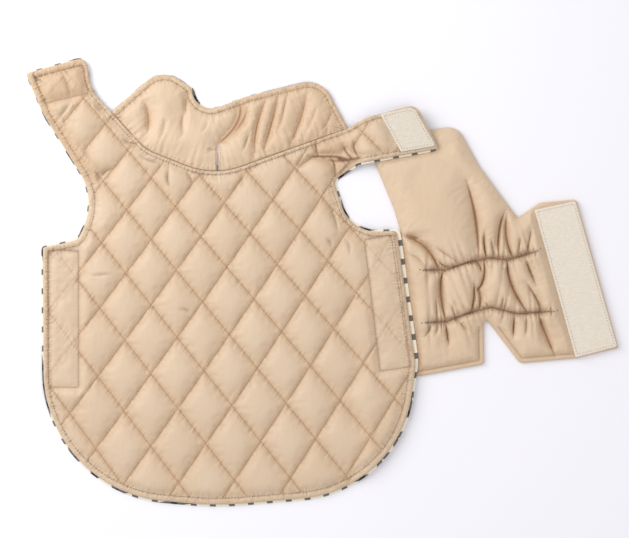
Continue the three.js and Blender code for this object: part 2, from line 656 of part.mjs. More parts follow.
function bellyRise(p) {
  const depth = Math.max(depthIn(p.x, p.y, bellyLoops[0]), 0);
  const share = clamp(depth / belly.round, 0, 1);
  const full = THREE.MathUtils.lerp(belly.chest, belly.flaps, ramp(p.y, belly.flapsFrom, belly.flapsTo));
  const pull = elasticPull(p.x, p.y);
  const padded = full * Math.sqrt(1 - (1 - share) ** 2) * pull.keep + pull.wave * share;
  const folded = padded - foldDepth(bellyLines, p.x, p.y) * share;
  const beyond = Math.max(-depthIn(p.x, p.y, backEdge) - belly.clearOfBack, 0);
  const fromTape = Math.max(-depthIn(p.x, p.y, bellyHookLoop) - belly.clearOfTape, 0);
  const underBack = p.y < belly.strapBelow
    ? belly.underStrap + belly.strapSlope * beyond
    : belly.marginTop + belly.marginSlope * beyond;
  return Math.min(
    pillowEdge[0].rise + Math.max(folded, belly.underStitching),
    underBack,
    belly.tapeFlat + belly.tapeSlope * fromTape,
  );
}

function bellyPanel() {
  const last = bellyLoops[bellyLoops.length - 1];
  const sides = [0, -elastic.gatherAway, elastic.gatherAway];
  const gathers = elasticLines.flatMap(
    (line) => sides.flatMap((side) => pointsAlong(line, elastic.gatherSpacing / 2, side)),
  );
  const lines = bellyLines.flatMap((f) => creasePoints(f, 1.4));
  const rims = [
    ...ringPoints(backCorners, belly.clearOfBack, 4.6),
    ...ringPoints(bellyHook, 1.2, 7),
    ...ringPoints(bellyHook, 7, 9),
    ...ringPoints(backCorners, belly.clearOfBack + 5, 9),
  ];
  const creases = thinOut([...rims, ...gathers, ...lines], last, 2.2, 2.3);
  const top = facePlan(bellyLoops, [...creases, ...gridPoints(last, 8.5, 3, creases, 4.4)]);
  const under = facePlan([bellyLoops[0]], []);
  return panelGeometry(top, under, bellyRise, () => 0);
}

// A flat piece of tape on a table of corners
function tape(corners, low) {
  const face = facePlan([traceLoop(corners)], []);
  return panelGeometry(face, face, () => low + tapeThickness, () => low);
}

const bellyTapeLow = belly.tapeFlat + seamGap;
const strapTapeLow = backBottom + lifts[1].height + strapFlat.rise + seamGap;
const shellCloth = { color: 0xdcbc98, roughness: 0.62 };
const liningCloth = { color: 0xe6dcc8, roughness: 0.85 };
const tapeWeave = { color: 0xe6dccb, roughness: 0.8 };
const pieces = [
  { name: 'back_panel', geometry: backPanel(), cloth: shellCloth },
  { name: 'back_lining', geometry: backLining(), cloth: liningCloth },
  { name: 'collar_shell', geometry: collarShell(), cloth: shellCloth },
  { name: 'collar_lining', geometry: collarLining(), cloth: liningCloth },
  { name: 'belly_panel', geometry: bellyPanel(), cloth: shellCloth },
  { name: 'strap_hook_tape', geometry: tape(strapHook, strapTapeLow), cloth: tapeWeave },
  { name: 'belly_hook_tape', geometry: tape(bellyHook, bellyTapeLow), cloth: tapeWeave },
  { name: 'strap_loop_tape', geometry: tape(strapLoop, 0), cloth: tapeWeave },
  { name: 'side_loop_tape', geometry: tape(sideLoop, 0), cloth: tapeWeave },
];

// The row's origin is on the table, under the middle of the whole coat.
const coat = new THREE.Group();
coat.name = 'dog_coat';
pieces.forEach((piece) => {
  const mesh = new THREE.Mesh(piece.geometry, new THREE.MeshStandardMaterial(piece.cloth));
  mesh.name = piece.name;
  coat.add(mesh);
});
const middle = new THREE.Box3().setFromObject(coat).getCenter(new THREE.Vector3());
coat.children.forEach((mesh) => mesh.position.set(-middle.x, -middle.y, 0));

export default coat;
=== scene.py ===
"""Looks of a quilted dog coat that lies undone on a pale table."""

import math

import bmesh
import bpy
import numpy as np
from mathutils import Matrix, Vector, geometry
from mathutils.bvhtree import BVHTree


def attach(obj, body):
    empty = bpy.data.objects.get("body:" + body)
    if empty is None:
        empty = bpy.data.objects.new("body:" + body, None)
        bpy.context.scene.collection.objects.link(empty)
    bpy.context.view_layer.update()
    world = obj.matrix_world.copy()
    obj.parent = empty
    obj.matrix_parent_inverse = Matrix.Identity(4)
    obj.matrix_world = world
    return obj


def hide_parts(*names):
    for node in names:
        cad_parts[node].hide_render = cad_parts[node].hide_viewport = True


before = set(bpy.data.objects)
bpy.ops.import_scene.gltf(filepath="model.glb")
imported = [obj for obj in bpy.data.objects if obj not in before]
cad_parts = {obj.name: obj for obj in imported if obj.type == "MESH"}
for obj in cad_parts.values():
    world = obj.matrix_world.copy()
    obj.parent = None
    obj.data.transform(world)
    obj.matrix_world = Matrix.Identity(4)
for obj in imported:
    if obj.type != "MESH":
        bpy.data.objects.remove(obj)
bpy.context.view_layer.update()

# Sizes are millimetres on the cutting sheet, x to the right and y down to the hem. The sheet's
# point SHEET_MIDDLE lies over the part's origin, and heights are over the table.
MM = 0.001
SHEET_MIDDLE = np.array([322.27, 282.22])
LINING = 1.2
SEAM_GAP = 0.3
SHELL_BOTTOM = LINING + SEAM_GAP
STITCHED = 1.7
THINNEST = 1.2
DEEP_FOLD = 3
TOPSTITCH = 6.4
TAPE_STITCH = 2.6
PUFF = 5.6
STITCH_REACH = 7
STRAP_END_RISE = 2.7
SPACING = 2.3
FINE = 1.9
FINE_REACH = 4
CHECK = 9.5
CLOTH_SCALE = 10

# Each row is x, y, radius, how far the lining shows past the edge that starts there, and how far
# in that edge's topstitching runs.
BACK = (
    (25.6, 73.4, 2.5, 0.8, 5.6),
    (43.6, 115, 90, 1.2, 5.6),
    (96.2, 199, 58, 1.5, 6),
    (77.5, 240.3, 11.5, 1.5, 5),
    (42.8, 247.6, 2, 1.8, 4.4),
    (43.9, 490, 131, 2.3, 6.2),
    (214.2, 506, 327, 2.3, 6.2),
    (397.4, 490.9, 120.6, 2.2, 6.2),
    (415.8, 366, 57, 3.8, 6.2),
    (396.6, 230.6, 4, 1.8, 4.4),
    (350.7, 232.9, 37, 1.8, 3.6),
    (333.4, 180.6, 7.3, 2.2, 3.8),
    (357.1, 163.6, 8, 1.9, 4.4),
    (438.6, 148.8, 3, 0, 4),
    (416, 104.4, 12, 0, 4),
    (366, 117.6, 20, 0, 3.6),
    (347, 128.5, 25, 0, 3.6),
    (213.1, 176.4, 79, 0, 3.6),
    (145.4, 149.2, 47, 0, 3.6),
    (90.8, 89.4, 44, 0, 4.2),
    (86.4, 56.5, 8.5, 1.2, 6.2),
)
COLLAR = (
    (106, 116, 2, 0, 5),
    (140, 160, 5, 0, 5),
    (218, 185, 60, 0, 5),
    (350, 132, 3, 0, 5),
    (321.2, 77.6, 26, 0.4, 5.2),
    (246.6, 96.1, 60, 0.3, 5.2),
    (198.5, 114, 19, 2.4, 5.2),
    (190.5, 86.7, 6.7, 0.5, 5.2),
    (161.6, 67.1, 27, 0.3, 5.6),
)
BELLY = (
    (366, 141, 8),
    (394.5, 210.2, 76),
    (402, 236, 1),
    (385, 242, 3),
    (394, 381, 3),
    (484.4, 364.5, 3),
    (483.9, 325, 4),
    (486.3, 319, 1.2),
    (520, 363.4, 6),
    (574.7, 358.6, 20),
    (619.2, 348.2, 2),
    (577, 199.2, 4),
    (540, 202.7, 13),
    (518.2, 218.2, 2),
    (478.8, 164.5, 60),
    (457.4, 125.2, 17),
)

# Quilting: stitch lines join this grid's points corner to corner.
QUILT = dict(x=202.2, y=301.9, column=25.7, column_growth=0.448, row=33.68, row_growth=0.457,
             lean=0.84, tilt=-1.48, tilt_ease=0.062)

# Rows of the same kind without the last number, for pieces whose lining doesn't show
BELLY_HOOK = ((534.4, 209.8, 1), (575.6, 357.6, 1), (617.4, 346.6, 1.5), (575.6, 201, 2))
STRAP_HOOK = ((379.5, 114.6, 1), (389, 131, 12), (400.5, 152.4, 1), (435.6, 146.4, 2), (413.6, 107.2, 8))
STRAP_LOOP = ((35, 78, 2), (46.6, 102.6, 2), (86.6, 92.6, 2), (81.4, 66.2, 4))
SIDE_LOOP = ((49.4, 250.9, 2), (49.4, 386.2, 2), (77.4, 386.6, 2), (77.4, 251.9, 2))

# Sewn-through boxes: how full the padding stays inside, and the corners.
BOXES = (
    (0.3, ((48.5, 250), (78.3, 251), (78.3, 387.5), (48.5, 387))),
    (0.3, ((364.5, 240), (394, 234.5), (411, 366.5), (380, 371))),
    (0.85, ((34, 77), (82, 65), (87.5, 93), (46, 103))),
)
# What lies under the back lifts it: full height, x and y from start to full, and where it ends.
LIFTS = (
    (4.6, (350, 374), (200, 232), None),
    (9.4, (340, 371), (222, 186), None),
    (1.7, (102, 88), (228, 240), (412, 398)),
    (1.7, (118, 106), (130, 116), None),
)
# The turned edge's height, from the outline at 0 to its topstitching at 1
TURNED_EDGE = ((0, 1), (0.06, 1.9), (0.17, 2.8), (0.34, 3.2), (0.55, 3), (0.76, 2.4), (0.92, 1.9), (1, 1.5))
ELASTICS = (
    ((425, 270), (446, 270), (468, 262.5), (490, 258), (508, 260), (536, 251.5)),
    ((427, 322.5), (446, 322), (468, 313.5), (491, 307.4), (519, 314), (552, 311.3)),
)
ELASTIC = dict(width=3.8, pull=0.93)
HEM = 5
CHEST = dict(x=453, y=210, width=36, rise=4)
THREAD_TAILS = (
    ((425, 270), (421, 270.4), (418, 268.6)),
    ((536, 251.5), (539.5, 249.6), (540.6, 246.8)),
    ((427, 322.5), (423, 322), (420, 323.6)),
    ((552, 311.3), (556, 311.6), (558.6, 309.6)),
)
SLIT = dict(x=218, top=144, bottom=168.6, depth=1.8)

# Quilting doesn't show in the tuck of the right strap, at the left strap's end and along its side.
UNQUILTED = (
    ((306, 158), (317, 139), (352, 141), (360, 157), (337, 180), (328, 172), (318, 160)),
    ((27, 78), (34, 64), (84, 60), (90, 92), (46.5, 104), (40, 106)),
    ((36, 100), (47, 98), (62, 121), (83, 148), (101, 171), (92, 182), (60, 150)),
)

# Folds run from one point past a middle one to a last one, with a width and a depth.
BACK_FOLDS = (
    (310, 157, 332, 156.2, 348, 159.4, 3.4, 8),
    (338, 159, 350, 160, 361, 156.6, 3.2, 7),
    (322, 159, 340, 161, 356, 158, 7, 3),
    (299, 167, 306, 161.4, 314, 156.6, 3, 3.2),
    (316, 139, 315.8, 147, 318, 156, 2.2, 4.4),
    (343.4, 146, 346.4, 152, 352, 158.6, 4.4, 5.4),
    (354.4, 142, 354.4, 150, 358.6, 157, 2.4, 4.4),
    (330.4, 158, 334.4, 166, 335, 180, 2.8, 4),
    (351, 160, 344, 168, 336.6, 177, 2.4, 3.6),
    (61.5, 71.5, 67.2, 85, 70.6, 97, 2.4, 2),
    (72, 101, 65, 110, 58, 120, 3, 2),
    (96.5, 105, 100, 108.6, 105, 112, 2, 2.2),
    (102, 176, 106, 171, 114, 168, 2.2, 2.8),
    (95, 172, 98, 176, 99, 183, 2, 2),
    (124, 140, 130, 142.6, 138, 142, 2.2, 3.2),
    (128, 134, 131, 136, 137, 140, 2, 2.2),
    (141, 156.4, 152, 161, 163, 162, 2.2, 2.2),
    (90, 276, 102, 274.6, 116, 274, 2.6, 1.8),
    (169, 168, 167.6, 179, 171, 188, 2.6, 2.6),
    (186, 172, 190, 178, 192, 185, 2.2, 2.2),
    (241, 168, 241.6, 176, 243, 184, 2.2, 2),
    (324, 199, 333, 214, 338, 234, 2.4, 2.6),
    (327, 239, 330, 242, 332, 247, 2, 1.8),
    (360, 237, 365, 243, 366, 252, 2, 1.8),
    (346, 240, 349.6, 247, 350, 256, 2, 1.8),
    (180, 309, 186, 310, 191, 314, 2, 1.6),
)
BELLY_FOLDS = (
    (404, 237, 425, 247, 439, 270, 3, 8.5),
    (401, 238, 408, 235.6, 417, 238.6, 2.6, 6),
    (408, 254, 418, 259, 426, 269, 3, 2),
    (438.5, 261, 444, 265.5, 450, 267.5, 2.2, 3.4),
    (434, 246, 446, 254, 459, 263, 3, 2.4),
    (466, 181, 475.5, 218, 478.5, 257, 5, 5.5),
    (484, 232, 484.6, 245, 486, 257, 2.4, 4),
    (491, 240, 492.4, 248, 494, 257, 2, 2.6),
    (504.5, 211, 499, 234, 499, 257, 3.6, 5.5),
    (506.5, 214, 506.8, 238, 513.5, 258, 3.2, 6),
    (520, 238, 519, 246, 518.5, 256, 2.4, 2.6),
    (531, 228, 529, 242, 526, 255, 3, 3),
    (443.8, 271, 440.8, 290, 446, 321, 2.6, 7),
    (436.5, 297, 436.5, 310, 437, 322, 2.4, 2.6),
    (451, 306, 453, 310, 455, 317, 2.2, 2.4),
    (475.5, 261, 479.5, 265, 481, 271, 2.6, 5.5),
    (484, 260, 484, 277, 478, 290, 2.6, 6),
    (478, 288, 480.5, 297, 479.5, 309, 2.8, 7.5),
    (474, 283, 474, 298, 470.8, 313, 2.4, 4.4),
    (484.4, 309, 484.8, 314, 485.6, 319, 2, 3.5),
    (507.6, 260, 511.6, 284, 527, 312, 2.6, 6.5),
    (503, 297, 502.4, 302, 501, 310, 2.2, 2.2),
    (525, 258, 530.6, 272, 536.4, 286, 2.8, 3.6),
    (526, 283, 536, 298, 541, 311, 3, 3.6),
    (430.6, 325, 428, 331, 424.6, 337, 2.2, 2.4),
    (438, 323.6, 437, 329, 436, 335, 2.2, 2.2),
    (445.6, 323, 447, 332, 449, 345, 2.6, 4.6),
    (456, 318, 461, 324, 468, 331, 2.4, 2.4),
    (515, 315, 513.8, 326, 513.4, 340, 2.6, 3.8),
    (526.5, 316, 526, 326, 525.6, 337, 2.2, 2.4),
    (539, 317, 545.5, 333, 556, 358, 3, 5.4),
)
COLLAR_FOLDS = (
    (145, 104, 148, 118, 147, 133, 2.6, 3.6),
    (188, 94, 185.6, 103, 186, 113, 2.6, 3.2),
    (184, 112, 182, 124, 184, 138, 2.6, 2),
    (165, 118, 164, 128, 160, 140, 2.4, 1.6),
    (240, 106, 236, 124, 219, 143, 4.6, 8),
    (247, 109, 243, 120, 235, 131, 3, 3.4),
    (207, 148, 211, 149.4, 216, 149.6, 2, 1.6),
    (208, 122, 206, 126, 202, 132, 3.4, 1.4),
    (249, 132, 246, 142, 242, 152, 3, 2),
    (264.7, 102, 256, 130, 255, 152, 3, 4.6),
    (278, 98, 270, 128, 264, 148, 3, 4.4),
    (288, 92, 283, 112, 277, 132, 3.2, 2.6),
    (306, 97, 300, 120, 291, 142, 3, 3.4),
    (317, 106, 312, 118, 304, 136, 3.2, 2),
    (331, 113, 327, 122, 321, 130, 3, 1.8),
)


def ramp(value, start, end):
    """0 before start and 1 after end, with soft ends."""
    t = np.clip((value - start) / (end - start), 0, 1)
    return t * t * (3 - 2 * t)


def trace(corners, move=0.0, less=0.0, step=SPACING):
    """Points round an outline with rounded corners, with its edges moved out."""
    place = np.array([c[:2] for c in corners], float)
    count = len(place)
    along = np.roll(place, -1, 0) - place
    along /= np.linalg.norm(along, axis=1)[:, None]
    out = np.stack([-along[:, 1], along[:, 0]], 1)
    if move == "lining":
        move = [c[3] for c in corners]
    moves = np.broadcast_to(move, count) - less
    arcs = []
    for i in range(count):
        before = i - 1
        across = along[before][0] * along[i][1] - along[before][1] * along[i][0]
        turn = math.acos(np.clip(along[before] @ along[i], -1, 1))
        if abs(across) < 0.03:
            corner = place[i] + out[i] * moves[i]
        else:
            a = place[i] + out[before] * moves[before]
            gap = place[i] + out[i] * moves[i] - a
            corner = a + along[before] * (gap[0] * along[i][1] - gap[1] * along[i][0]) / across
        shift = (moves[before] + moves[i]) / 2
        radius = max(corners[i][2] + (shift if across < 0 else -shift), 0.9)
        start = corner - along[before] * radius * math.tan(turn / 2)
        centre = start + np.array([-along[before][1], along[before][0]]) * radius * np.sign(across)
        arcs.append((start, centre, np.sign(across) * turn, radius))
    loop = []
    for i, (start, centre, angle, radius) in enumerate(arcs):
        steps = max(2, math.ceil(abs(angle) * radius / step))
        spoke = start - centre
        for k in range(steps + 1):
            c, s = math.cos(angle * k / steps), math.sin(angle * k / steps)
            loop.append(centre + np.array([c * spoke[0] - s * spoke[1], s * spoke[0] + c * spoke[1]]))
        after = arcs[(i + 1) % count][0]
        steps = max(1, math.ceil(np.linalg.norm(after - loop[-1]) / step))
        last = loop[-1]
        loop.extend(last + (after - last) * k / steps for k in range(1, steps))
    return np.array(loop)


def band(corners, share, step=SPACING):
    """A loop between an outline, at 0, and its topstitching, at 1."""
    return trace(corners, [-share * c[4] for c in corners], step=step)


def reach(points, line, closed=False, block=24):
    """Each point's distance from a line, and how far along it the nearest place is, 0 to 1."""
    a = line if closed else line[:-1]
    b = np.roll(line, -1, 0) if closed else line[1:]
    d = b - a
    length = np.maximum((d * d).sum(1), 1e-9)
    nearest = np.full(len(points), 1e9)
    share = np.zeros(len(points))
    blocks = [slice(k, min(k + block, len(a))) for k in range(0, len(a), block)]
    for part in blocks:
        gap = ((points - a[part.start]) ** 2).sum(1) + 1e-6
        np.minimum(nearest, gap, out=nearest)
    for part in blocks:
        low = np.minimum(a[part], b[part]).min(0)
        high = np.maximum(a[part], b[part]).max(0)
        outside = np.maximum(np.maximum(low - points, points - high), 0)
        near = np.flatnonzero((outside * outside).sum(1) < nearest)
        x = points[near, 0, None] - a[part, 0]
        y = points[near, 1, None] - a[part, 1]
        t = np.clip((x * d[part, 0] + y * d[part, 1]) / length[part], 0, 1)
        gap = (x - t * d[part, 0]) ** 2 + (y - t * d[part, 1]) ** 2
        best = gap.argmin(1)
        rows = np.arange(len(near))
        closer = gap[rows, best] < nearest[near]
        found = near[closer]
        nearest[found] = gap[rows, best][closer]
        share[found] = (part.start + best + t[rows, best])[closer] / len(a)
    return np.sqrt(nearest), share


def inside(points, loop):
    odd = np.zeros(len(points), bool)
    for a, b in zip(loop, np.roll(loop, -1, 0)):
        if a[1] != b[1]:
            crosses = (a[1] > points[:, 1]) != (b[1] > points[:, 1])
            odd ^= crosses & (points[:, 0] < a[0] + (points[:, 1] - a[1]) * (b[0] - a[0]) / (b[1] - a[1]))
    return odd


def inset(points, loop):
    """Distance in from a loop, negative outside it."""
    away, _ = reach(points, loop, closed=True)
    return np.where(inside(points, loop), away, -away)


def resample(line, step):
    """The same line with its points about a step apart."""
    line = np.asarray(line, float)
    lengths = np.concatenate([[0], np.cumsum(np.linalg.norm(np.diff(line, axis=0), axis=1))])
    at = np.linspace(0, lengths[-1], max(2, round(lengths[-1] / step) + 1))
    return np.stack([np.interp(at, lengths, line[:, k]) for k in (0, 1)], 1)


def lines_in(lines, kept, step=SPACING):
    """Cuts lines down to their stretches where kept(points) is above 0, and resamples those."""
    runs = []
    for line in lines:
        fine = resample(line, 0.4)
        good = kept(fine) > 0
        edges = np.flatnonzero(np.diff(np.concatenate([[0], good, [0]]).astype(int)))
        for start, end in edges.reshape(-1, 2):
            if end - start > 8:
                runs.append(resample(fine[start:end], step))
    return runs


def cut_cloth(edge, lines, spacing=SPACING, finer=(), clear=0.6):
    """A flat panel as points and triangles. Its triangles keep to the outline and to the lines.

    They are half as large near the finer lines.
    """
    seams = [np.vstack([edge, edge[:1]])] + [np.asarray(line) for line in lines]
    low, high = edge.min(0), edge.max(0)
    rows = np.arange(low[1], high[1], spacing / 2 * math.sqrt(0.75))
    columns = np.arange(low[0], high[0], spacing / 2)
    grid = np.array([(x + spacing / 4 * (k % 2), y) for k, y in enumerate(rows) for x in columns])
    row, column = np.divmod(np.arange(len(grid)), len(columns))
    kept = (row % 2 == 0) & ((column - row // 2) % 2 == 0)
    grid = grid[kept | near_lines(grid, finer, FINE_REACH)]
    grid = grid[inside(grid, edge)]
    for seam in seams:
        near = np.all((grid > seam.min(0) - spacing) & (grid < seam.max(0) + spacing), axis=1)
        away = np.full(len(grid), 1e9)
        away[near] = reach(grid[near], seam)[0]
        grid = grid[away > spacing * clear]
    points = [tuple(p) for p in edge]
    joins = [(i, (i + 1) % len(edge)) for i in range(len(edge))]
    for line in seams[1:]:
        start = len(points)
        points.extend(tuple(p) for p in line)
        joins.extend((start + i, start + i + 1) for i in range(len(line) - 1))
    points.extend(tuple(p) for p in grid)
    outline = list(range(len(edge)))
    made = geometry.delaunay_2d_cdt([Vector(p) for p in points], joins, [outline], 1, 1e-3)
    flat = np.array([tuple(p) for p in made[0]])
    return flat, facing_up(flat, np.array(made[2]))


def facing_up(flat, faces):
    a, b, c = (flat[faces[:, k]] for k in range(3))
    turn = (b[:, 0] - a[:, 0]) * (c[:, 1] - a[:, 1]) - (b[:, 1] - a[:, 1]) * (c[:, 0] - a[:, 0])
    return np.where((turn < 0)[:, None], faces, faces[:, ::-1])


def without(flat, faces, loop):
    """A panel less what lies inside a loop that its triangles keep to."""
    faces = faces[~inside(flat[faces].mean(1), loop)]
    used, faces = np.unique(faces, return_inverse=True)
    return flat[used], faces.reshape(-1, 3)


def rim_of(faces):
    """The outline's points in order, from the triangles' open sides."""
    sides = {(a, b) for p, q, r in faces.tolist() for a, b in ((p, q), (q, r), (r, p))}
    after = {a: b for a, b in sides if (b, a) not in sides}
    rim = [next(iter(after))]
    while after[rim[-1]] != rim[0]:
        rim.append(after[rim[-1]])
    return rim


def to_row(flat, height):
    """Sheet points and heights as places in the part's frame, in metres."""
    x = flat[:, 0] - SHEET_MIDDLE[0]
    y = SHEET_MIDDLE[1] - flat[:, 1]
    return np.stack([x, y, height], 1) * MM


def mesh_piece(name, places, faces, material):
    mesh = bpy.data.meshes.new(name)
    mesh.from_pydata([tuple(p) for p in places], [], [tuple(int(i) for i in f) for f in faces])
    mesh.polygons.foreach_set("use_smooth", [True] * len(mesh.polygons))
    mesh.materials.append(material)
    mesh.update()
    piece = bpy.data.objects.new(name, mesh)
    bpy.context.scene.collection.objects.link(piece)
    return piece


def weights(piece, name, values):
    group = piece.vertex_groups.new(name=name)
    for step in np.unique(np.round(values, 2)):
        if step > 0:
            group.add(np.flatnonzero(np.round(values, 2) == step).tolist(), float(step), "REPLACE")
    return name


def blow_up(flat, height, faces, sewn, fill, loose, cap=8.0, frames=8, spare=(0.04, 0.12)):
    """Padding swells the cloth between its sewn points.

    fill is how full the padding is at each point, and loose how much spare cloth there is.
    """
    scale = CLOTH_SCALE * MM
    start = np.column_stack([flat[:, 0], -flat[:, 1], height])
    piece = mesh_piece("filling", start * scale, faces, None)
    cloth = piece.modifiers.new("Cloth", "CLOTH")
    settings = cloth.settings
    settings.quality = 5
    settings.mass = 0.3
    settings.tension_stiffness = 15
    settings.compression_stiffness = 15
    settings.shear_stiffness = 5
    settings.bending_stiffness = 0.5
    settings.use_pressure = True
    settings.uniform_pressure_force = 4
    settings.effector_weights.gravity = 0
    settings.vertex_group_mass = weights(piece, "sewn", sewn.astype(float))
    settings.vertex_group_pressure = weights(piece, "fill", fill)
    settings.vertex_group_shrink = weights(piece, "loose", loose)
    settings.shrink_min = -spare[0]
    settings.shrink_max = -spare[1]
    cloth.collision_settings.use_collision = False
    cloth.point_cache.frame_end = frames
    for number in range(1, frames + 1):
        bpy.context.scene.frame_set(number)
    swollen = piece.evaluated_get(bpy.context.evaluated_depsgraph_get())
    ends = np.empty(len(flat) * 3, np.float32)
    swollen.data.vertices.foreach_get("co", ends)
    ends = ends.reshape(-1, 3) / scale
    bpy.data.objects.remove(piece)
    bpy.context.scene.frame_set(1)
    move = ends - start
    length = np.maximum(np.linalg.norm(move, axis=1), 1e-6)
    move *= (cap * np.tanh(length / cap) / length)[:, None]
    ends = start + move
    return np.column_stack([ends[:, 0], -ends[:, 1]]), ends[:, 2]


def mark(piece, name, values):
    """Keeps a number for each point of a panel's upper side, for its material. Others get 0."""
    every = np.zeros(len(piece.data.vertices), np.float32)
    every[:len(values)] = values
    piece.data.attributes.new(name, "FLOAT", "POINT").data.foreach_set("value", every)


def mark_pulled(piece, points, seams, spread):
    """Keeps how far along and how near to the nearest of some seams each point lies."""
    along = np.zeros(len(points))
    nearest = np.full(len(points), np.inf)
    for seam in seams:
        away, share = reach(points, seam)
        length = np.linalg.norm(np.diff(seam, axis=0), axis=1).sum()
        along = np.where(away < nearest, share * length, along)
        nearest = np.minimum(away, nearest)
    mark(piece, "seam_along", along)
    mark(piece, "seam_near", np.exp(-nearest / spread))


def gathers(points, line, spacing, height, peak):
    """Small folds that stand across a gathered line, highest at a distance of peak from it."""
    away, share = reach(points, line)
    along = share * np.linalg.norm(np.diff(line, axis=0), axis=1).sum() / spacing * 2 * np.pi
    uneven = along + 1.3 * np.sin(along / 3.7) + 0.9 * np.sin(along / 2.3 + 1)
    strength = 0.65 + 0.35 * np.sin(along / 4.1 + 2)
    pleats = 2 * abs(np.cos(uneven / 2)) ** 0.7 - 1.3
    return height * strength * pleats * away / peak * np.exp(1 - away / peak)


def add_sheet(bm, flat, height, faces):
    sheet = bpy.data.meshes.new("sheet")
    sheet.from_pydata([tuple(p) for p in to_row(flat, height)], [], faces.tolist())
    bm.from_mesh(sheet)
    bpy.data.meshes.remove(sheet)


def finished(bm, name, material):
    for face in bm.faces:
        face.smooth = True
    mesh = bpy.data.meshes.new(name)
    bm.to_mesh(mesh)
    bm.free()
    mesh.materials.append(material)
    piece = bpy.data.objects.new(name, mesh)
    bpy.context.scene.collection.objects.link(piece)
    return piece


def close_panel(name, flat, height, faces, under, material, tuck=0.5, under_spacing=10.0):
    """A closed panel: its upper side, a rim that turns under, and a plain underside."""
    rim = rim_of(faces)
    loop = flat[rim]
    along = np.roll(loop, -1, 0) - np.roll(loop, 1, 0)
    along /= np.maximum(np.linalg.norm(along, axis=1), 1e-6)[:, None]
    tucked = loop + np.stack([along[:, 1], -along[:, 0]], 1) * tuck
    bm = bmesh.new()
    add_sheet(bm, flat, height, faces)
    bm.verts.ensure_lookup_table()
    below = dict(zip((bm.verts[i] for i in rim), to_row(tucked, under(tucked))))
    turned = bmesh.ops.extrude_edge_only(bm, edges=[e for e in bm.edges if e.is_boundary])["geom"]
    for vert in (v for v in turned if isinstance(v, bmesh.types.BMVert)):
        above = next(e.other_vert(vert) for e in vert.link_edges if e.other_vert(vert) in below)
        vert.co = below[above]
    inner, inner_faces = cut_cloth(tucked, [], under_spacing)
    add_sheet(bm, inner, under(inner), inner_faces[:, ::-1])
    bmesh.ops.remove_doubles(bm, verts=[v for v in bm.verts if v.is_boundary], dist=0.002 * MM)
    bmesh.ops.holes_fill(bm, edges=[e for e in bm.edges if e.is_boundary], sides=0)
    bmesh.ops.triangulate(bm, faces=[f for f in bm.faces if len(f.verts) > 3])
    bmesh.ops.recalc_face_normals(bm, faces=bm.faces)
    open_sides = sum(not e.is_manifold for e in bm.edges)
    if open_sides:
        print(name, "has open sides:", open_sides)
    return finished(bm, name, material)


def near_lines(points, lines, within=0.05):
    close = np.zeros(len(points), bool)
    for line in lines:
        spot = np.all((points > line.min(0) - within) & (points < line.max(0) + within), axis=1)
        found = reach(points[spot], line)[0] < within
        close[np.flatnonzero(spot)[found]] = True
    return close


def fold_line(fold):
    x0, y0, xm, ym, x1, y1 = fold[:6]
    t = np.linspace(0, 1, 13)[:, None]
    middle = 2 * np.array([xm, ym]) - (np.array([x0, y0]) + np.array([x1, y1])) / 2
    return (1 - t) ** 2 * np.array([x0, y0]) + 2 * t * (1 - t) * middle + t * t * np.array([x1, y1])


def bell(distance, width):
    return np.exp(-((distance / width) ** 2))


def fold_depth(folds, points, narrow=1.0):
    """How far the folds of a table pull the cloth down at each point, least at their ends."""
    depth = np.zeros(len(points))
    for fold in folds:
        away, share = reach(points, fold_line(fold))
        taper = np.sqrt(np.sin(np.pi * np.clip(share, 0.04, 0.96)))
        depth += fold[7] * taper * np.exp(-1.3 * away / (fold[6] * narrow))
    return depth


def crease_shade_amount(folds, points):
    """How much painted shade each point gets, from 0 to 1: most deep in creases, with a faint painted shade beside
    deep ones.
    """
    beside = np.clip(fold_depth(folds, points, 0.9) / 8 - 0.2, 0, 0.6)
    return np.clip(fold_depth(folds, points, 0.2) / 4.2 - 0.2 + beside * 0.5, 0, 1)


def closed(loop):
    return np.vstack([loop, loop[:1]])


class Value:
    """A number that varies over a surface, for use in plain arithmetic."""

    def __init__(self, look, socket):
        self.look = look
        self.socket = socket

    def __add__(self, other):
        return self.look.maths("ADD", self, other)

    def __sub__(self, other):
        return self.look.maths("SUBTRACT", self, other)

    def __rsub__(self, other):
        return self.look.maths("SUBTRACT", other, self)

    def __mul__(self, other):
        return self.look.maths("MULTIPLY", self, other)

    def __truediv__(self, other):
        return self.look.maths("DIVIDE", self, other)

    def __pow__(self, other):
        return self.look.maths("POWER", self, other)

    def __gt__(self, other):
        return self.look.maths("GREATER_THAN", self, other)

    def __abs__(self):
        return self.look.maths("ABSOLUTE", self)

    __radd__ = __add__
    __rmul__ = __mul__


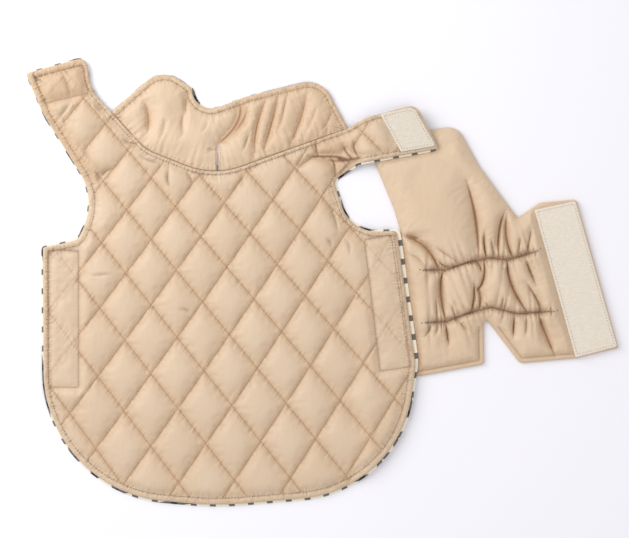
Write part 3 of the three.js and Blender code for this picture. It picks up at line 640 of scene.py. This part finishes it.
class Look:
    """A material, with the nodes behind its shader."""

    def __init__(self, name, **finish):
        self.material = bpy.data.materials.new(name)
        self.material.use_nodes = True
        self.tree = self.material.node_tree
        self.shader = self.tree.nodes["Principled BSDF"]
        for socket, value in finish.items():
            self.set(socket.replace("_", " "), value)

    def set(self, socket, value):
        self.link(self.shader.inputs[socket], value)

    def link(self, socket, value):
        if isinstance(value, Value):
            value = value.socket
        if isinstance(value, bpy.types.NodeSocket):
            self.tree.links.new(value, socket)
        else:
            socket.default_value = value

    def node(self, kind, settings=None, out=0, **values):
        made = self.tree.nodes.new("ShaderNode" + kind)
        for setting, value in (settings or {}).items():
            setattr(made, setting, value)
        for socket, value in values.items():
            key = int(socket[1:]) if socket[1:].isdigit() else socket.replace("_", " ")
            self.link(made.inputs[key], value)
        return Value(self, made.outputs[out])

    def maths(self, operation, a, b=0.0):
        return self.node("Math", {"operation": operation}, _0=a, _1=b)

    def sine(self, value):
        return self.maths("SINE", value)

    def between(self, value, start, end):
        return self.node("MapRange", {"interpolation_type": "SMOOTHSTEP"}, Value=value,
                         From_Min=start, From_Max=end)

    def place(self, turn=0.0, stretch=(1, 1, 1)):
        """Object coordinates in millimetres, turned and stretched."""
        spot = self.node("TexCoord", out="Object")
        scale = tuple(s / MM for s in stretch)
        return self.node("Mapping", Vector=spot, Rotation=(0, 0, turn), Scale=scale)

    def axes(self, vector):
        return [self.node("SeparateXYZ", out=k, Vector=vector) for k in range(3)]

    def marked(self, name):
        return self.node("Attribute", {"attribute_name": name}, out="Fac")

    def noise(self, place, size, detail=2.0, roughness=0.5, distortion=0.0):
        """Soft spots about a size across, from 0 to 1."""
        return self.node("TexNoise", out=0, Vector=place, Scale=1 / size, Detail=detail,
                         Roughness=roughness, Distortion=distortion)

    def mixed(self, share, a, b, blend="MIX"):
        return self.node("Mix", {"data_type": "RGBA", "blend_type": blend}, out=2,
                         _0=share, _6=a, _7=b)

    def bump(self, height, depth, strength=1.0, under=None):
        """Relief of a depth in millimetres, over another relief if one is given."""
        values = {"Height": height, "Distance": depth * MM, "Strength": strength}
        if under is not None:
            values["Normal"] = under
        return self.node("Bump", **values)


def colour(red, green, blue):
    """A colour as it looks on a screen, 0 to 255, for a shader."""
    parts = [c / 255 for c in (red, green, blue)]
    return tuple([c / 12.92 if c < 0.04 else ((c + 0.055) / 1.055) ** 2.4 for c in parts] + [1])


def quilted_nylon(name, tint, shade, low, seam, crease_shade, quilted=False):
    """Soft padded nylon: a fine tight weave, small creases, and puckers beside quilting, with painted shade in low
    places, along seams, in creases and puckers, and in the slit.
    """
    look = Look(name, Roughness=0.5, Specular_IOR_Level=0.45, Sheen_Weight=0.3,
                Sheen_Roughness=0.45)
    flat = look.place()
    x, y, _ = look.axes(flat)
    weave = look.sine(x * (2 * math.pi / 0.62)) * look.sine(y * (2 * math.pi / 0.62))
    relief = look.bump(weave, 0.025, 0.35)
    creases = look.noise(look.place(0.5, (1, 0.45, 1)), 7.5, 3.0, 0.55, 0.6)
    relief = look.bump(creases, 1.25, 0.45, relief)
    slanted = look.noise(look.place(-0.7, (1, 0.4, 1)), 4.2, 2.0, 0.5, 0.4)
    relief = look.bump(slanted, 0.6, 0.4, relief)
    patches = look.noise(flat, 55.0, 2.0)
    near_seam = look.marked("seam_near")
    at_seam = look.node("CombineXYZ", _0=look.marked("seam_along") / 2.6, _1=near_seam)
    puckers = look.node("TexNoise", {"noise_dimensions": "2D"}, out=0, Vector=at_seam, Scale=1.0,
                        Detail=1.0)
    relief = look.bump(near_seam * puckers, 2.7, 0.9, relief)
    if quilted:
        rising = look.marked("rising")
        falling = look.marked("falling")
        pucker = None
        for along, across in ((rising, falling), (falling, rising)):
            offset = abs(look.maths("PINGPONG", across, 0.5))
            near = 1 - look.between(offset, 0.02, 0.16)
            waves = look.node("TexNoise", {"noise_dimensions": "2D"}, out=0, Scale=1.0, Detail=1.0,
                              Vector=look.node("CombineXYZ", _0=along * 11.0, _1=across * 1.6))
            part = near * waves
            pucker = part if pucker is None else pucker + part
        relief = look.bump(pucker, 1.8, 0.8, relief)
    look.set("Normal", relief)
    cloth = look.mixed(look.between(patches, 0.3, 0.7), tint, shade)
    # Painted shade: where lit_share is low, the cloth takes the darker, warmer low colour in place of shade in
    # valleys and low places.
    cloth = look.mixed(look.marked("lit_share"), low, cloth)
    # Painted shade in the puckers' hollows beside the seams.
    pleats = (1 - look.between(puckers, 0.36, 0.46)) * near_seam
    cloth = look.mixed(pleats * 0.2, cloth, crease_shade)
    # Painted shade in creases: the cloth darkens towards the dark brown shade colour along the folds.
    cloth = look.mixed(look.marked("painted_crease_shade") * 0.9, cloth, crease_shade)
    # Painted shade inside the slit: a greyish lilac.
    cloth = look.mixed(look.marked("slit_shade"), cloth, colour(196, 176, 168))
    # Painted shade along seams: the cloth darkens towards the seam colour where it is sewn down.
    look.set("Base Color", look.mixed(look.marked("sewn") ** 2.5 * 0.35, cloth, seam))
    look.set("Roughness", look.between(creases, 0.2, 0.8) * 0.1 + 0.46)
    return look.material


def gingham(name):
    """A plain woven gingham: two sets of equal dark and pale stripes."""
    look = Look(name, Roughness=0.85, Specular_IOR_Level=0.2, Sheen_Weight=0.2)
    x, y, _ = look.axes(look.place(-0.134))
    dark = 0.0
    for way in (x - 4, y):
        stripe = look.maths("PINGPONG", way, CHECK) / CHECK
        dark = look.between(stripe, 0.66, 0.71) * 0.85 + dark
    look.set("Base Color", look.mixed(dark, colour(246, 237, 216), colour(46, 45, 50)))
    weave = look.sine(x * (2 * math.pi / 0.8)) * look.sine(y * (2 * math.pi / 0.8))
    look.set("Normal", look.bump(weave, 0.08, 0.6))
    return look.material


def hook_weave(name, tint, shade, turn):
    """The woven ground of hook tape, with fine hooks in rows across it."""
    look = Look(name, Roughness=0.75, Specular_IOR_Level=0.3)
    x, y, _ = look.axes(look.place(turn))
    rows = look.noise(look.node("CombineXYZ", _0=x * 0.22, _1=y), 1.1, 2.0, 0.5, 0.3)
    ribs = look.sine(x * (2 * math.pi / 3.1))
    look.set("Normal", look.bump(rows, 0.9, 0.8, look.bump(ribs, 0.06, 0.5)))
    # The colour is darker where the rows lie low in the relief.
    row_height = look.between(rows, 0.3, 0.7)
    look.set("Base Color", look.mixed(row_height, shade, tint))
    return look.material


def loop_pile(name):
    """The brushed side of loop tape."""
    look = Look(name, Roughness=0.95, Specular_IOR_Level=0.1, Sheen_Weight=0.6)
    pile = look.noise(look.place(), 0.9, 4.0, 0.7, 1.2)
    look.set("Normal", look.bump(pile, 0.8, 0.9))
    look.set("Base Color", look.mixed(pile, colour(224, 207, 178), colour(240, 228, 206)))
    return look.material


def yarn(name, tint, shade):
    """Twisted sewing thread."""
    look = Look(name, Roughness=0.6, Specular_IOR_Level=0.4, Sheen_Weight=0.2)
    look.set("Base Color", look.mixed(look.noise(look.place(), 1.6), tint, shade))
    return look.material


def quilt_place(points):
    """Where points lie in the quilting, in diamonds along its rising and its falling lines."""
    q = QUILT
    across = np.zeros(len(points))
    for _ in range(5):
        slope = q["row"] + across * q["tilt_ease"]
        rest = q["y"] + across * q["tilt"] - points[:, 1]
        root = np.sqrt(slope ** 2 - 4 * q["row_growth"] * rest)
        down = (root - slope) / (2 * q["row_growth"])
        across = (points[:, 0] - q["x"] - q["lean"] * down) / (q["column"] + q["column_growth"] * down)
    return (across + down) / 2, (across - down) / 2


def quilt_points(rising, falling):
    q = QUILT
    across = rising + falling
    down = rising - falling
    x = q["x"] + q["lean"] * down + across * (q["column"] + q["column_growth"] * down)
    y = q["y"] + q["row"] * down + q["row_growth"] * down ** 2 + across * (q["tilt"] + q["tilt_ease"] * down)
    return np.stack([x, y], 1)


def quilt_lines():
    run = np.linspace(-9, 9, 200)
    for number in range(-9, 10):
        fixed = np.full(len(run), number)
        yield quilt_points(fixed, run)
        yield quilt_points(run, fixed)


def lift_at(points):
    height = np.zeros(len(points))
    for full, (x0, x1), (y0, y1), until in LIFTS:
        share = ramp(points[:, 0], x0, x1) * ramp(points[:, 1], y0, y1)
        if until:
            share *= ramp(points[:, 1], *until)
        height = np.maximum(height, full * share)
    return height


def edge_height(points, outline, topstitch):
    """The turned edge's height, and how far in from the topstitching each point is."""
    depth = inset(points, outline)
    within = inset(points, topstitch)
    share = np.clip(depth / np.maximum(depth - within, 1e-6), 0, 1)
    return np.interp(np.where(within > 0, 1, share), *zip(*TURNED_EDGE)), within


# The quilted back
back_edge = trace(BACK)
box_loops = [(puff, np.array(corners, float)) for puff, corners in BOXES]


def box_puff(points):
    share = np.ones(len(points))
    for puff, loop in box_loops:
        depth = inset(points, loop)
        seam = np.clip(abs(depth) / STITCH_REACH, 0, 1)
        share *= np.where(depth > 0, puff * seam, seam)
    return share


def unquilted(points):
    """How far in each point is from the rim of a stretch without quilting."""
    return np.max([inset(points, np.array(loop, float)) for loop in UNQUILTED], axis=0)


def pinned_folds(folds, flat):
    """Points on the deep folds, which stitching holds down."""
    deep = [resample(fold_line(f), SPACING)[1:-1] for f in folds if f[7] >= DEEP_FOLD]
    return near_lines(flat, deep, 0.4)


def back_panel(material):
    rolls = [closed(band(BACK, share)) for share in (0.06, 0.17, 0.4, 0.72)]
    stitched = band(BACK, 1)
    topstitch = closed(stitched)
    within = lines_in(quilt_lines(), lambda p: np.minimum(inset(p, stitched), -unquilted(p)))
    box_lines = lines_in([closed(loop) for _, loop in box_loops], lambda p: inset(p, back_edge) - 3)
    creases = [resample(fold_line(f), SPACING) for f in BACK_FOLDS]
    flat, faces = cut_cloth(back_edge, [*rolls, topstitch, *within, *box_lines, *creases], finer=creases)
    height, depth = edge_height(flat, back_edge, stitched)
    rising, falling = quilt_place(flat)
    swell = abs(np.sin(np.pi * rising) * np.sin(np.pi * falling)) ** 0.33
    swell += (1 - swell) * ramp(unquilted(flat), -4, 3)
    box = box_puff(flat)
    start = PUFF * 0.9
    height = np.where(depth > 0, STITCHED + start * ramp(depth, -1, 8) * swell * box, height)
    height = np.maximum(height - fold_depth(BACK_FOLDS, flat), THINNEST)
    strap_end = 1 - ramp(-inset(flat, trace(STRAP_HOOK)), 1, 9)
    height += (np.minimum(height, STRAP_END_RISE) - height) * strap_end
    height += SHELL_BOTTOM + lift_at(flat)
    sewn = near_lines(flat, [topstitch, *within, *box_lines, closed(back_edge), rolls[0]])
    sewn |= (strap_end > 0.9) | pinned_folds(BACK_FOLDS, flat)
    fill = np.clip(box * 1.4, 0.25, 1) * 0.6
    flat_cut = flat
    flat, height = blow_up(flat, height, faces, sewn, fill, np.zeros(len(flat)), spare=(0.012, 0.05))
    height = np.maximum(height - 0.8 * fold_depth(BACK_FOLDS, flat_cut), SHELL_BOTTOM + 1 + lift_at(flat))
    under = lambda p: SHELL_BOTTOM + lift_at(p)
    piece = close_panel("back_shell", flat, height, faces, under, material)
    mark(piece, "rising", rising)
    mark(piece, "falling", falling)
    # Painted shade over the back: darker in the quilting's valleys and over the unquilted strap end and tuck,
    # lighter inside the boxes.
    in_box = ramp(np.max([inset(flat_cut, loop) for _, loop in box_loops[:2]], axis=0), 0.5, 2)
    swell += (1 - swell) * in_box * 0.75
    unquilted_shade = ramp(unquilted(flat_cut), -7, 3)
    mark(piece, "lit_share", np.where(depth > 0, swell, 0.8) * (1 - 0.75 * unquilted_shade))
    mark_pulled(piece, flat_cut, [topstitch], 3)
    sewn = near_lines(flat_cut, [topstitch, *box_lines])
    # Painted shade in the quilting and topstitch grooves, fainter inside the boxes.
    mark(piece, "sewn", np.where(sewn, 1, near_lines(flat_cut, within) * (1 - 0.15 * in_box)))
    # Painted shade along the boxes' seams, with painted shade in the back's folds.
    box_seam_shade = bell(np.min([reach(flat_cut, line)[0] for line in box_lines], axis=0), 1.6)
    mark(piece, "painted_crease_shade", np.maximum(crease_shade_amount(BACK_FOLDS, flat_cut), box_seam_shade * 0.24))
    clear = lines_in(within, lambda p: -np.max([inset(p, loop) for _, loop in box_loops[:2]], axis=0))
    return piece, [topstitch, *clear, *box_lines]


def collar(material):
    neck = trace(BACK, 0.14)
    edge = trace(COLLAR)
    stitched = band(COLLAR, 1)
    topstitch = closed(stitched)
    rolls = [closed(band(COLLAR, share)) for share in (0.06, 0.17, 0.4, 0.72)]
    creases = [resample(fold_line(f), SPACING) for f in COLLAR_FOLDS]
    seams = lines_in([closed(neck)], lambda p: inset(p, edge) + 0.5)
    beside = lines_in([closed(trace(BACK, 1.4))], lambda p: inset(p, edge) - 3)
    slit = [resample([(SLIT["x"] + side, SLIT["top"]), (SLIT["x"] + side, SLIT["bottom"])], 1.5)
            for side in (-2.1, -1.4, -0.7, 0, 0.7, 1.4, 2.1)]
    lines = [*rolls, topstitch, *creases, *seams, *beside, *slit]
    flat, faces = cut_cloth(edge, lines, FINE, [*seams, *creases])
    flat, faces = without(flat, faces, neck)
    height, depth = edge_height(flat, edge, stitched)
    from_neck = -inset(flat, neck)
    swell = ramp(depth, -1, 9) * (0.35 + 0.65 * ramp(from_neck, 0, 14))
    start = 5.2 * 0.55
    height = np.where(depth > 0, STITCHED + start * swell, height)
    height *= 0.8 + 0.2 * ramp(from_neck, 0, 3)
    folds = fold_depth(COLLAR_FOLDS, flat)
    in_slit = 1 - ramp(abs(flat[:, 0] - SLIT["x"]), 1.3, 2.6)
    in_slit *= ramp(flat[:, 1], SLIT["top"] - 2, SLIT["top"] + 2)
    height = SHELL_BOTTOM + np.maximum(height - folds - in_slit * SLIT["depth"], 0.7)
    sewn = near_lines(flat, [topstitch, closed(edge), rolls[0], slit[3]]) | (from_neck < 0.05)
    sewn |= pinned_folds(COLLAR_FOLDS, flat)
    loose = 1 - ramp(from_neck, 2, 40)
    fill = ramp(depth, -6, -3)
    flat_cut = flat
    flat, height = blow_up(flat, height, faces, sewn, fill, loose, spare=(0.025, 0.1))
    seam = seams[0]
    height += (gathers(flat_cut, seam, 3.7, 0.8, 2.4) + gathers(flat_cut, seam, 8, 0.9, 7)) * ramp(depth, 0, 6)
    height = np.maximum(height - 0.8 * fold_depth(COLLAR_FOLDS, flat_cut), SHELL_BOTTOM + 0.7)
    piece = close_panel("collar_outer", flat, height, faces, lambda p: np.full(len(p), SHELL_BOTTOM), material)
    # Painted shade along the topstitching and the neck seam.
    mark(piece, "sewn", near_lines(flat_cut, [topstitch, *seams]))
    # Painted shade in the collar's folds.
    mark(piece, "painted_crease_shade", crease_shade_amount(COLLAR_FOLDS, flat_cut))
    # Painted shade inside the slit.
    mark(piece, "slit_shade", in_slit)
    mark_pulled(piece, flat_cut, [topstitch], 3)
    # Painted shade: the collar's cloth is darker where it lies low and over its right half.
    right_side_shade = ramp(flat_cut[:, 0], 228, 290)
    mark(piece, "lit_share", np.clip((height - SHELL_BOTTOM) / 3.5, 0, 1) * (1 - 0.35 * right_side_shade))
    sides = [np.array([(SLIT["x"] + side, SLIT["top"] + 2), (SLIT["x"] + side, SLIT["bottom"])]) for side in (-2.4, 2.6)]
    return piece, lines_in([topstitch], lambda p: -inset(p, neck) - 1) + sides


# The padded belly panel
elastics = [resample(np.array(line, float), SPACING / 2) for line in ELASTICS]


def elastic_pull(points):
    keep = np.ones(len(points))
    for line in elastics:
        away, share = reach(points, line)
        ends = ramp(np.minimum(share, 1 - share), 0, 0.08)
        keep *= 1 - ELASTIC["pull"] * ends * bell(away, ELASTIC["width"])
    return keep


def belly_panel(material):
    edge = trace(BELLY)
    hook = trace(BELLY_HOOK)
    rolls = [closed(trace(BELLY, -d)) for d in (0.4, 1.4, 3.2)]
    creases = [resample(fold_line(f), SPACING) for f in BELLY_FOLDS]
    hem = lines_in([closed(trace(BELLY, -HEM))], lambda p: np.minimum(p[:, 1] - 326, -inset(p, hook) - 3))
    lines = [*rolls, closed(trace(BELLY_HOOK, 1.2)), *creases, *hem, *elastics]
    flat, faces = cut_cloth(edge, lines, FINE, [*elastics, *creases])
    depth = np.maximum(inset(flat, edge), 0)
    share = np.clip(depth / 15, 0, 1)
    full = 9.6 - 2.2 * ramp(flat[:, 1], 312, 340)
    full += CHEST["rise"] * bell(np.hypot(flat[:, 0] - CHEST["x"], flat[:, 1] - CHEST["y"]), CHEST["width"])
    keep = elastic_pull(flat)
    start = 0.85
    round_edge = np.sqrt(1 - (1 - share) ** 2)
    round_edge *= 1 - 0.75 * bell(depth - HEM, 2.5) * ramp(flat[:, 1], 326, 332)
    padded = start * full * round_edge * keep
    folded = padded - fold_depth(BELLY_FOLDS, flat) * share * start
    beyond = np.maximum(-inset(flat, back_edge) - 4.6, 0)
    from_tape = np.maximum(-inset(flat, hook) - 1.5, 0)
    under_back = np.where(flat[:, 1] < 200, 8.6 + 0.8 * beyond, 4 + 1.3 * beyond)
    height = np.minimum(1.6 + np.maximum(folded, 0.6), under_back)
    height = np.minimum(height, 4.6 + 0.9 * from_tape)
    hidden = inset(flat, back_edge) > -1.5
    sewn = near_lines(flat, [closed(edge), rolls[0], *hem, *elastics], 0.3)
    sewn |= hidden | (from_tape == 0) | pinned_folds(BELLY_FOLDS, flat)
    gather = np.clip(sum(bell(reach(flat, line)[0], 16) for line in elastics), 0, 1)
    fill = ramp(depth, 0, 3) * (1 - 0.5 * ramp(inset(flat, back_edge), -10, -2))
    fill *= 0.35 + 0.65 * gather
    flat_cut = flat
    flat, height = blow_up(flat, height, faces, sewn, fill, gather, cap=6, spare=(0.015, 0.2))
    clear = ramp(-inset(flat, hook), 2, 10) * ramp(-inset(flat, back_edge), 2, 8) * share
    for line in elastics:
        height += (gathers(flat_cut, line, 3.9, 2.0, 2.6) + gathers(flat_cut, line, 9.5, 2.1, 7)) * clear
    height = np.maximum(height - fold_depth(BELLY_FOLDS, flat_cut) * clear, 1.2)
    piece = close_panel("belly_pad", flat, height, faces, lambda p: np.zeros(len(p)), material)
    # Painted shade along the hem and the elastics.
    mark(piece, "sewn", near_lines(flat_cut, [*hem, *elastics]))
    # Painted shade: the lower the padding lies, the darker its cloth.
    mark(piece, "lit_share", np.clip(height / 5, 0, 1))
    mark_pulled(piece, flat_cut, elastics, 6)
    # Painted shade in the gathered grooves along the elastics, with painted shade in the belly's folds.
    elastic_shade = sum(bell(reach(flat_cut, line)[0], 1.7) for line in elastics) * 0.65
    painted_crease_shade = np.clip(crease_shade_amount(BELLY_FOLDS, flat_cut) * 1.25 + elastic_shade, 0, 1) * clear
    # Painted shadow that the back's edge casts on the belly beside it.
    back_edge_shadow = bell(np.maximum(-inset(flat_cut, back_edge) - 3.5, 0), 4) * ramp(flat_cut[:, 1], 236, 250)
    mark(piece, "painted_crease_shade", np.maximum(painted_crease_shade, back_edge_shadow * 0.4))
    return piece, hem


def ride(piece, slot, *nodes):
    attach(piece, "root")
    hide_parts(*nodes)
    return piece


def lining(name, corners, lift, material, neck=None):
    """One thin layer under a shell, with a soft folded edge that shows past it."""
    edge = trace(corners, "lining", step=4.0)
    rolls = [closed(trace(corners, "lining", less, 4.0)) for less in (0.3, 0.9)]
    if neck is not None:
        rolls += lines_in([closed(neck)], lambda p: inset(p, edge) + 0.5)
    flat, faces = cut_cloth(edge, rolls, 9.0)
    if neck is not None:
        flat, faces = without(flat, faces, neck)
    height = np.interp(inset(flat, edge), (0, 0.3, 0.9), (0.6, 1.05, LINING)) + lift(flat)
    return close_panel(name, flat, height, faces, lift, material, 0.3)


def tape(name, corners, low, material):
    edge = trace(corners, step=2.0)
    rolls = [closed(trace(corners, -d, step=2.0)) for d in (0.25, 0.8, TAPE_STITCH)]
    flat, faces = cut_cloth(edge, rolls, 5.0)
    rise = np.interp(inset(flat, edge), (0, 0.25, 0.8, 1.8, TAPE_STITCH, 3.4), (0.45, 0.85, 1.1, 1.1, 0.8, 1.2))
    return close_panel(name, flat, low + rise, faces, lambda p: np.full(len(p), low), material, 0.25)


def one_stitch():
    shape = bmesh.new()
    bmesh.ops.create_uvsphere(shape, u_segments=6, v_segments=4, radius=1)
    for face in shape.faces:
        face.smooth = True
    mesh = bpy.data.meshes.new("stitch")
    shape.to_mesh(mesh)
    shape.free()
    return mesh


def sew(name, runs, surface, material, length=1.7, gap=1.3, thickness=0.5):
    """Short stitches along runs over a piece, half sunk into it."""
    tree = BVHTree.FromObject(surface, bpy.context.evaluated_depsgraph_get())
    stitch = one_stitch()
    whole = bmesh.new()
    for run in runs:
        steps = np.concatenate([[0], np.cumsum(np.linalg.norm(np.diff(run, axis=0), axis=1))])
        count = max(1, round(steps[-1] / (length + gap)))
        for k in range(count):
            at = (k + 0.5) / count * steps[-1] + np.array([-0.5, 0.5]) * length
            spots = np.stack([np.interp(at, steps, run[:, i]) for i in (0, 1)], 1)
            hits = [tree.ray_cast(Vector(p), Vector((0, 0, -1)))[0] for p in to_row(spots, np.full(2, 60.0))]
            if None in hits:
                continue
            way = hits[1] - hits[0]
            turn = way.to_track_quat("Z", "Y").to_matrix().to_4x4()
            size = Matrix.Diagonal((thickness / 2 * MM, thickness / 2 * MM, way.length / 2, 1))
            sewn = stitch.copy()
            sewn.transform(Matrix.Translation((hits[0] + hits[1]) / 2) @ turn @ size)
            whole.from_mesh(sewn)
            bpy.data.meshes.remove(sewn)
    return finished(whole, name, material)


def wavy(line):
    """A seam that wanders a little as its gathers pull at it."""
    at = np.arange(len(line))
    return line + np.stack([np.zeros(len(line)), 0.45 * np.sin(at * 1.9) + 0.3 * np.sin(at * 0.8)], 1)


# Painted shade colours for the cloth: for low places, along seams, in creases and in the deep tuck.
low_shade_tan = colour(200, 169, 136)
seam_shade_tan = colour(156, 120, 88)
crease_shade_tan = colour(140, 88, 44)
tuck_shade_tan = colour(106, 66, 34)
nylon = quilted_nylon("tan_nylon_quilted", colour(212, 189, 163), colour(207, 183, 156), low_shade_tan, seam_shade_tan, tuck_shade_tan, True)
soft_nylon = quilted_nylon("tan_nylon", colour(214, 189, 161), colour(209, 183, 154), low_shade_tan, seam_shade_tan, crease_shade_tan)
check = gingham("gingham")
# The thread's own tan-brown, made darker so that it also carries painted shade of the stitch holes.
thread = yarn("tan_thread", colour(150, 114, 80), colour(132, 98, 66))
grey_thread = yarn("grey_thread", colour(112, 120, 122), colour(92, 98, 104))
tape_cloth = hook_weave("hook_tape_weave", colour(230, 221, 207), colour(222, 211, 196), -0.28)
# The strap's hook tape is the same tape as the belly's, painted darker as shade.
strap_tape_cloth_shaded = hook_weave("strap_tape_weave_shaded", colour(223, 214, 200), colour(214, 204, 189), -0.5)
pile = loop_pile("loop_tape_pile")

back, back_runs = back_panel(nylon)
ride(back, "shell_cloth", "back_panel")
outer, collar_runs = collar(soft_nylon)
ride(outer, "shell_cloth", "collar_shell")
belly, hem_runs = belly_panel(soft_nylon)
ride(belly, "shell_cloth", "belly_panel")

flat_lift = lambda points: np.zeros(len(points))
back_lining = lining("back_lining_cloth", BACK, lift_at, check)
ride(back_lining, "lining_cloth", "back_lining")
back_cut = trace(BACK, "lining")
collar_lining = lining("collar_lining_cloth", COLLAR, flat_lift, check, trace(BACK, SEAM_GAP))
ride(collar_lining, "lining_cloth", "collar_lining")

belly_tape = tape("belly_hook", BELLY_HOOK, 4.9, tape_cloth)
ride(belly_tape, "hook_tape", "belly_hook_tape")
strap_tape = tape("strap_hook", STRAP_HOOK, 13.9, strap_tape_cloth_shaded)
ride(strap_tape, "hook_tape", "strap_hook_tape")
ride(tape("strap_loop", STRAP_LOOP, 0.0, pile), "loop_tape", "strap_loop_tape")
ride(tape("side_loop", SIDE_LOOP, 0.0, pile), "loop_tape", "side_loop_tape")

tails = [resample(np.array(tail, float), 1.0) for tail in THREAD_TAILS]
bar = np.array([(SLIT["x"] - 0.6 + 1.3 * (-1) ** k, SLIT["bottom"] - 3 + 0.7 * k) for k in range(8)])
for name, runs, surface, colouring, thickness in (
    ("back_stitching", back_runs, back, thread, 0.6),
    ("collar_stitching", collar_runs, outer, thread, 0.5),
    ("slit_bar_stitching", [bar], outer, grey_thread, 1.0),
    ("belly_stitching", hem_runs, belly, thread, 0.5),
    ("elastic_stitching", [*(wavy(line) for line in elastics), *tails], belly, grey_thread, 1.3),
    ("belly_tape_stitching", [closed(trace(BELLY_HOOK, -TAPE_STITCH))], belly_tape, thread, 0.5),
    ("strap_tape_stitching", [closed(trace(STRAP_HOOK, -TAPE_STITCH))], strap_tape, thread, 0.5),
):
    stitches = sew(name, runs, surface, colouring, thickness=thickness)
    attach(stitches, "root")


def light(name, energy, size, place, aim=(0, 0, 0), tint=(1, 1, 1)):
    lamp = bpy.data.lights.new(name, "AREA")
    lamp.energy = energy
    lamp.size = size
    lamp.color = tint
    held = bpy.data.objects.new(name, lamp)
    held.location = place
    held.rotation_euler = (Vector(aim) - Vector(place)).to_track_quat("-Z", "Y").to_euler()
    bpy.context.scene.collection.objects.link(held)


# A pale table under soft daylight from the upper left, seen from straight above
floor_mesh = bpy.data.meshes.new("table_top")
floor_shape = bmesh.new()
bmesh.ops.create_grid(floor_shape, x_segments=1, y_segments=1, size=3)
floor_shape.to_mesh(floor_mesh)
floor_shape.free()
floor = bpy.data.objects.new("table_top", floor_mesh)
floor_mesh.materials.append(Look("table_white", Base_Color=(0.88, 0.875, 0.93, 1), Roughness=0.7).material)
bpy.context.scene.collection.objects.link(floor)

scene = bpy.context.scene
scene.world = scene.world or bpy.data.worlds.new("studio")
scene.world.use_nodes = True
sky = scene.world.node_tree.nodes["Background"]
sky.inputs["Color"].default_value = (1, 0.99, 0.985, 1)
sky.inputs["Strength"].default_value = 0.72
light("key", 11.3, 0.95, (-0.85, 0.55, 0.85))
light("fill", 4, 1.4, (0.9, -0.6, 1.7))
scene.view_settings.view_transform = "Standard"

PHOTO = (629, 538)
CAMERA_HEIGHT = 2.4
camera = bpy.data.objects.new("camera", bpy.data.cameras.new("camera"))
middle = to_row(np.array([[PHOTO[0] / 2, PHOTO[1] / 2]]), np.array([CAMERA_HEIGHT / MM]))[0]
camera.location = middle
camera.data.sensor_width = 36
camera.data.lens = 36 * (CAMERA_HEIGHT - 6 * MM) / (PHOTO[0] * MM)
scene.collection.objects.link(camera)
scene.camera = camera
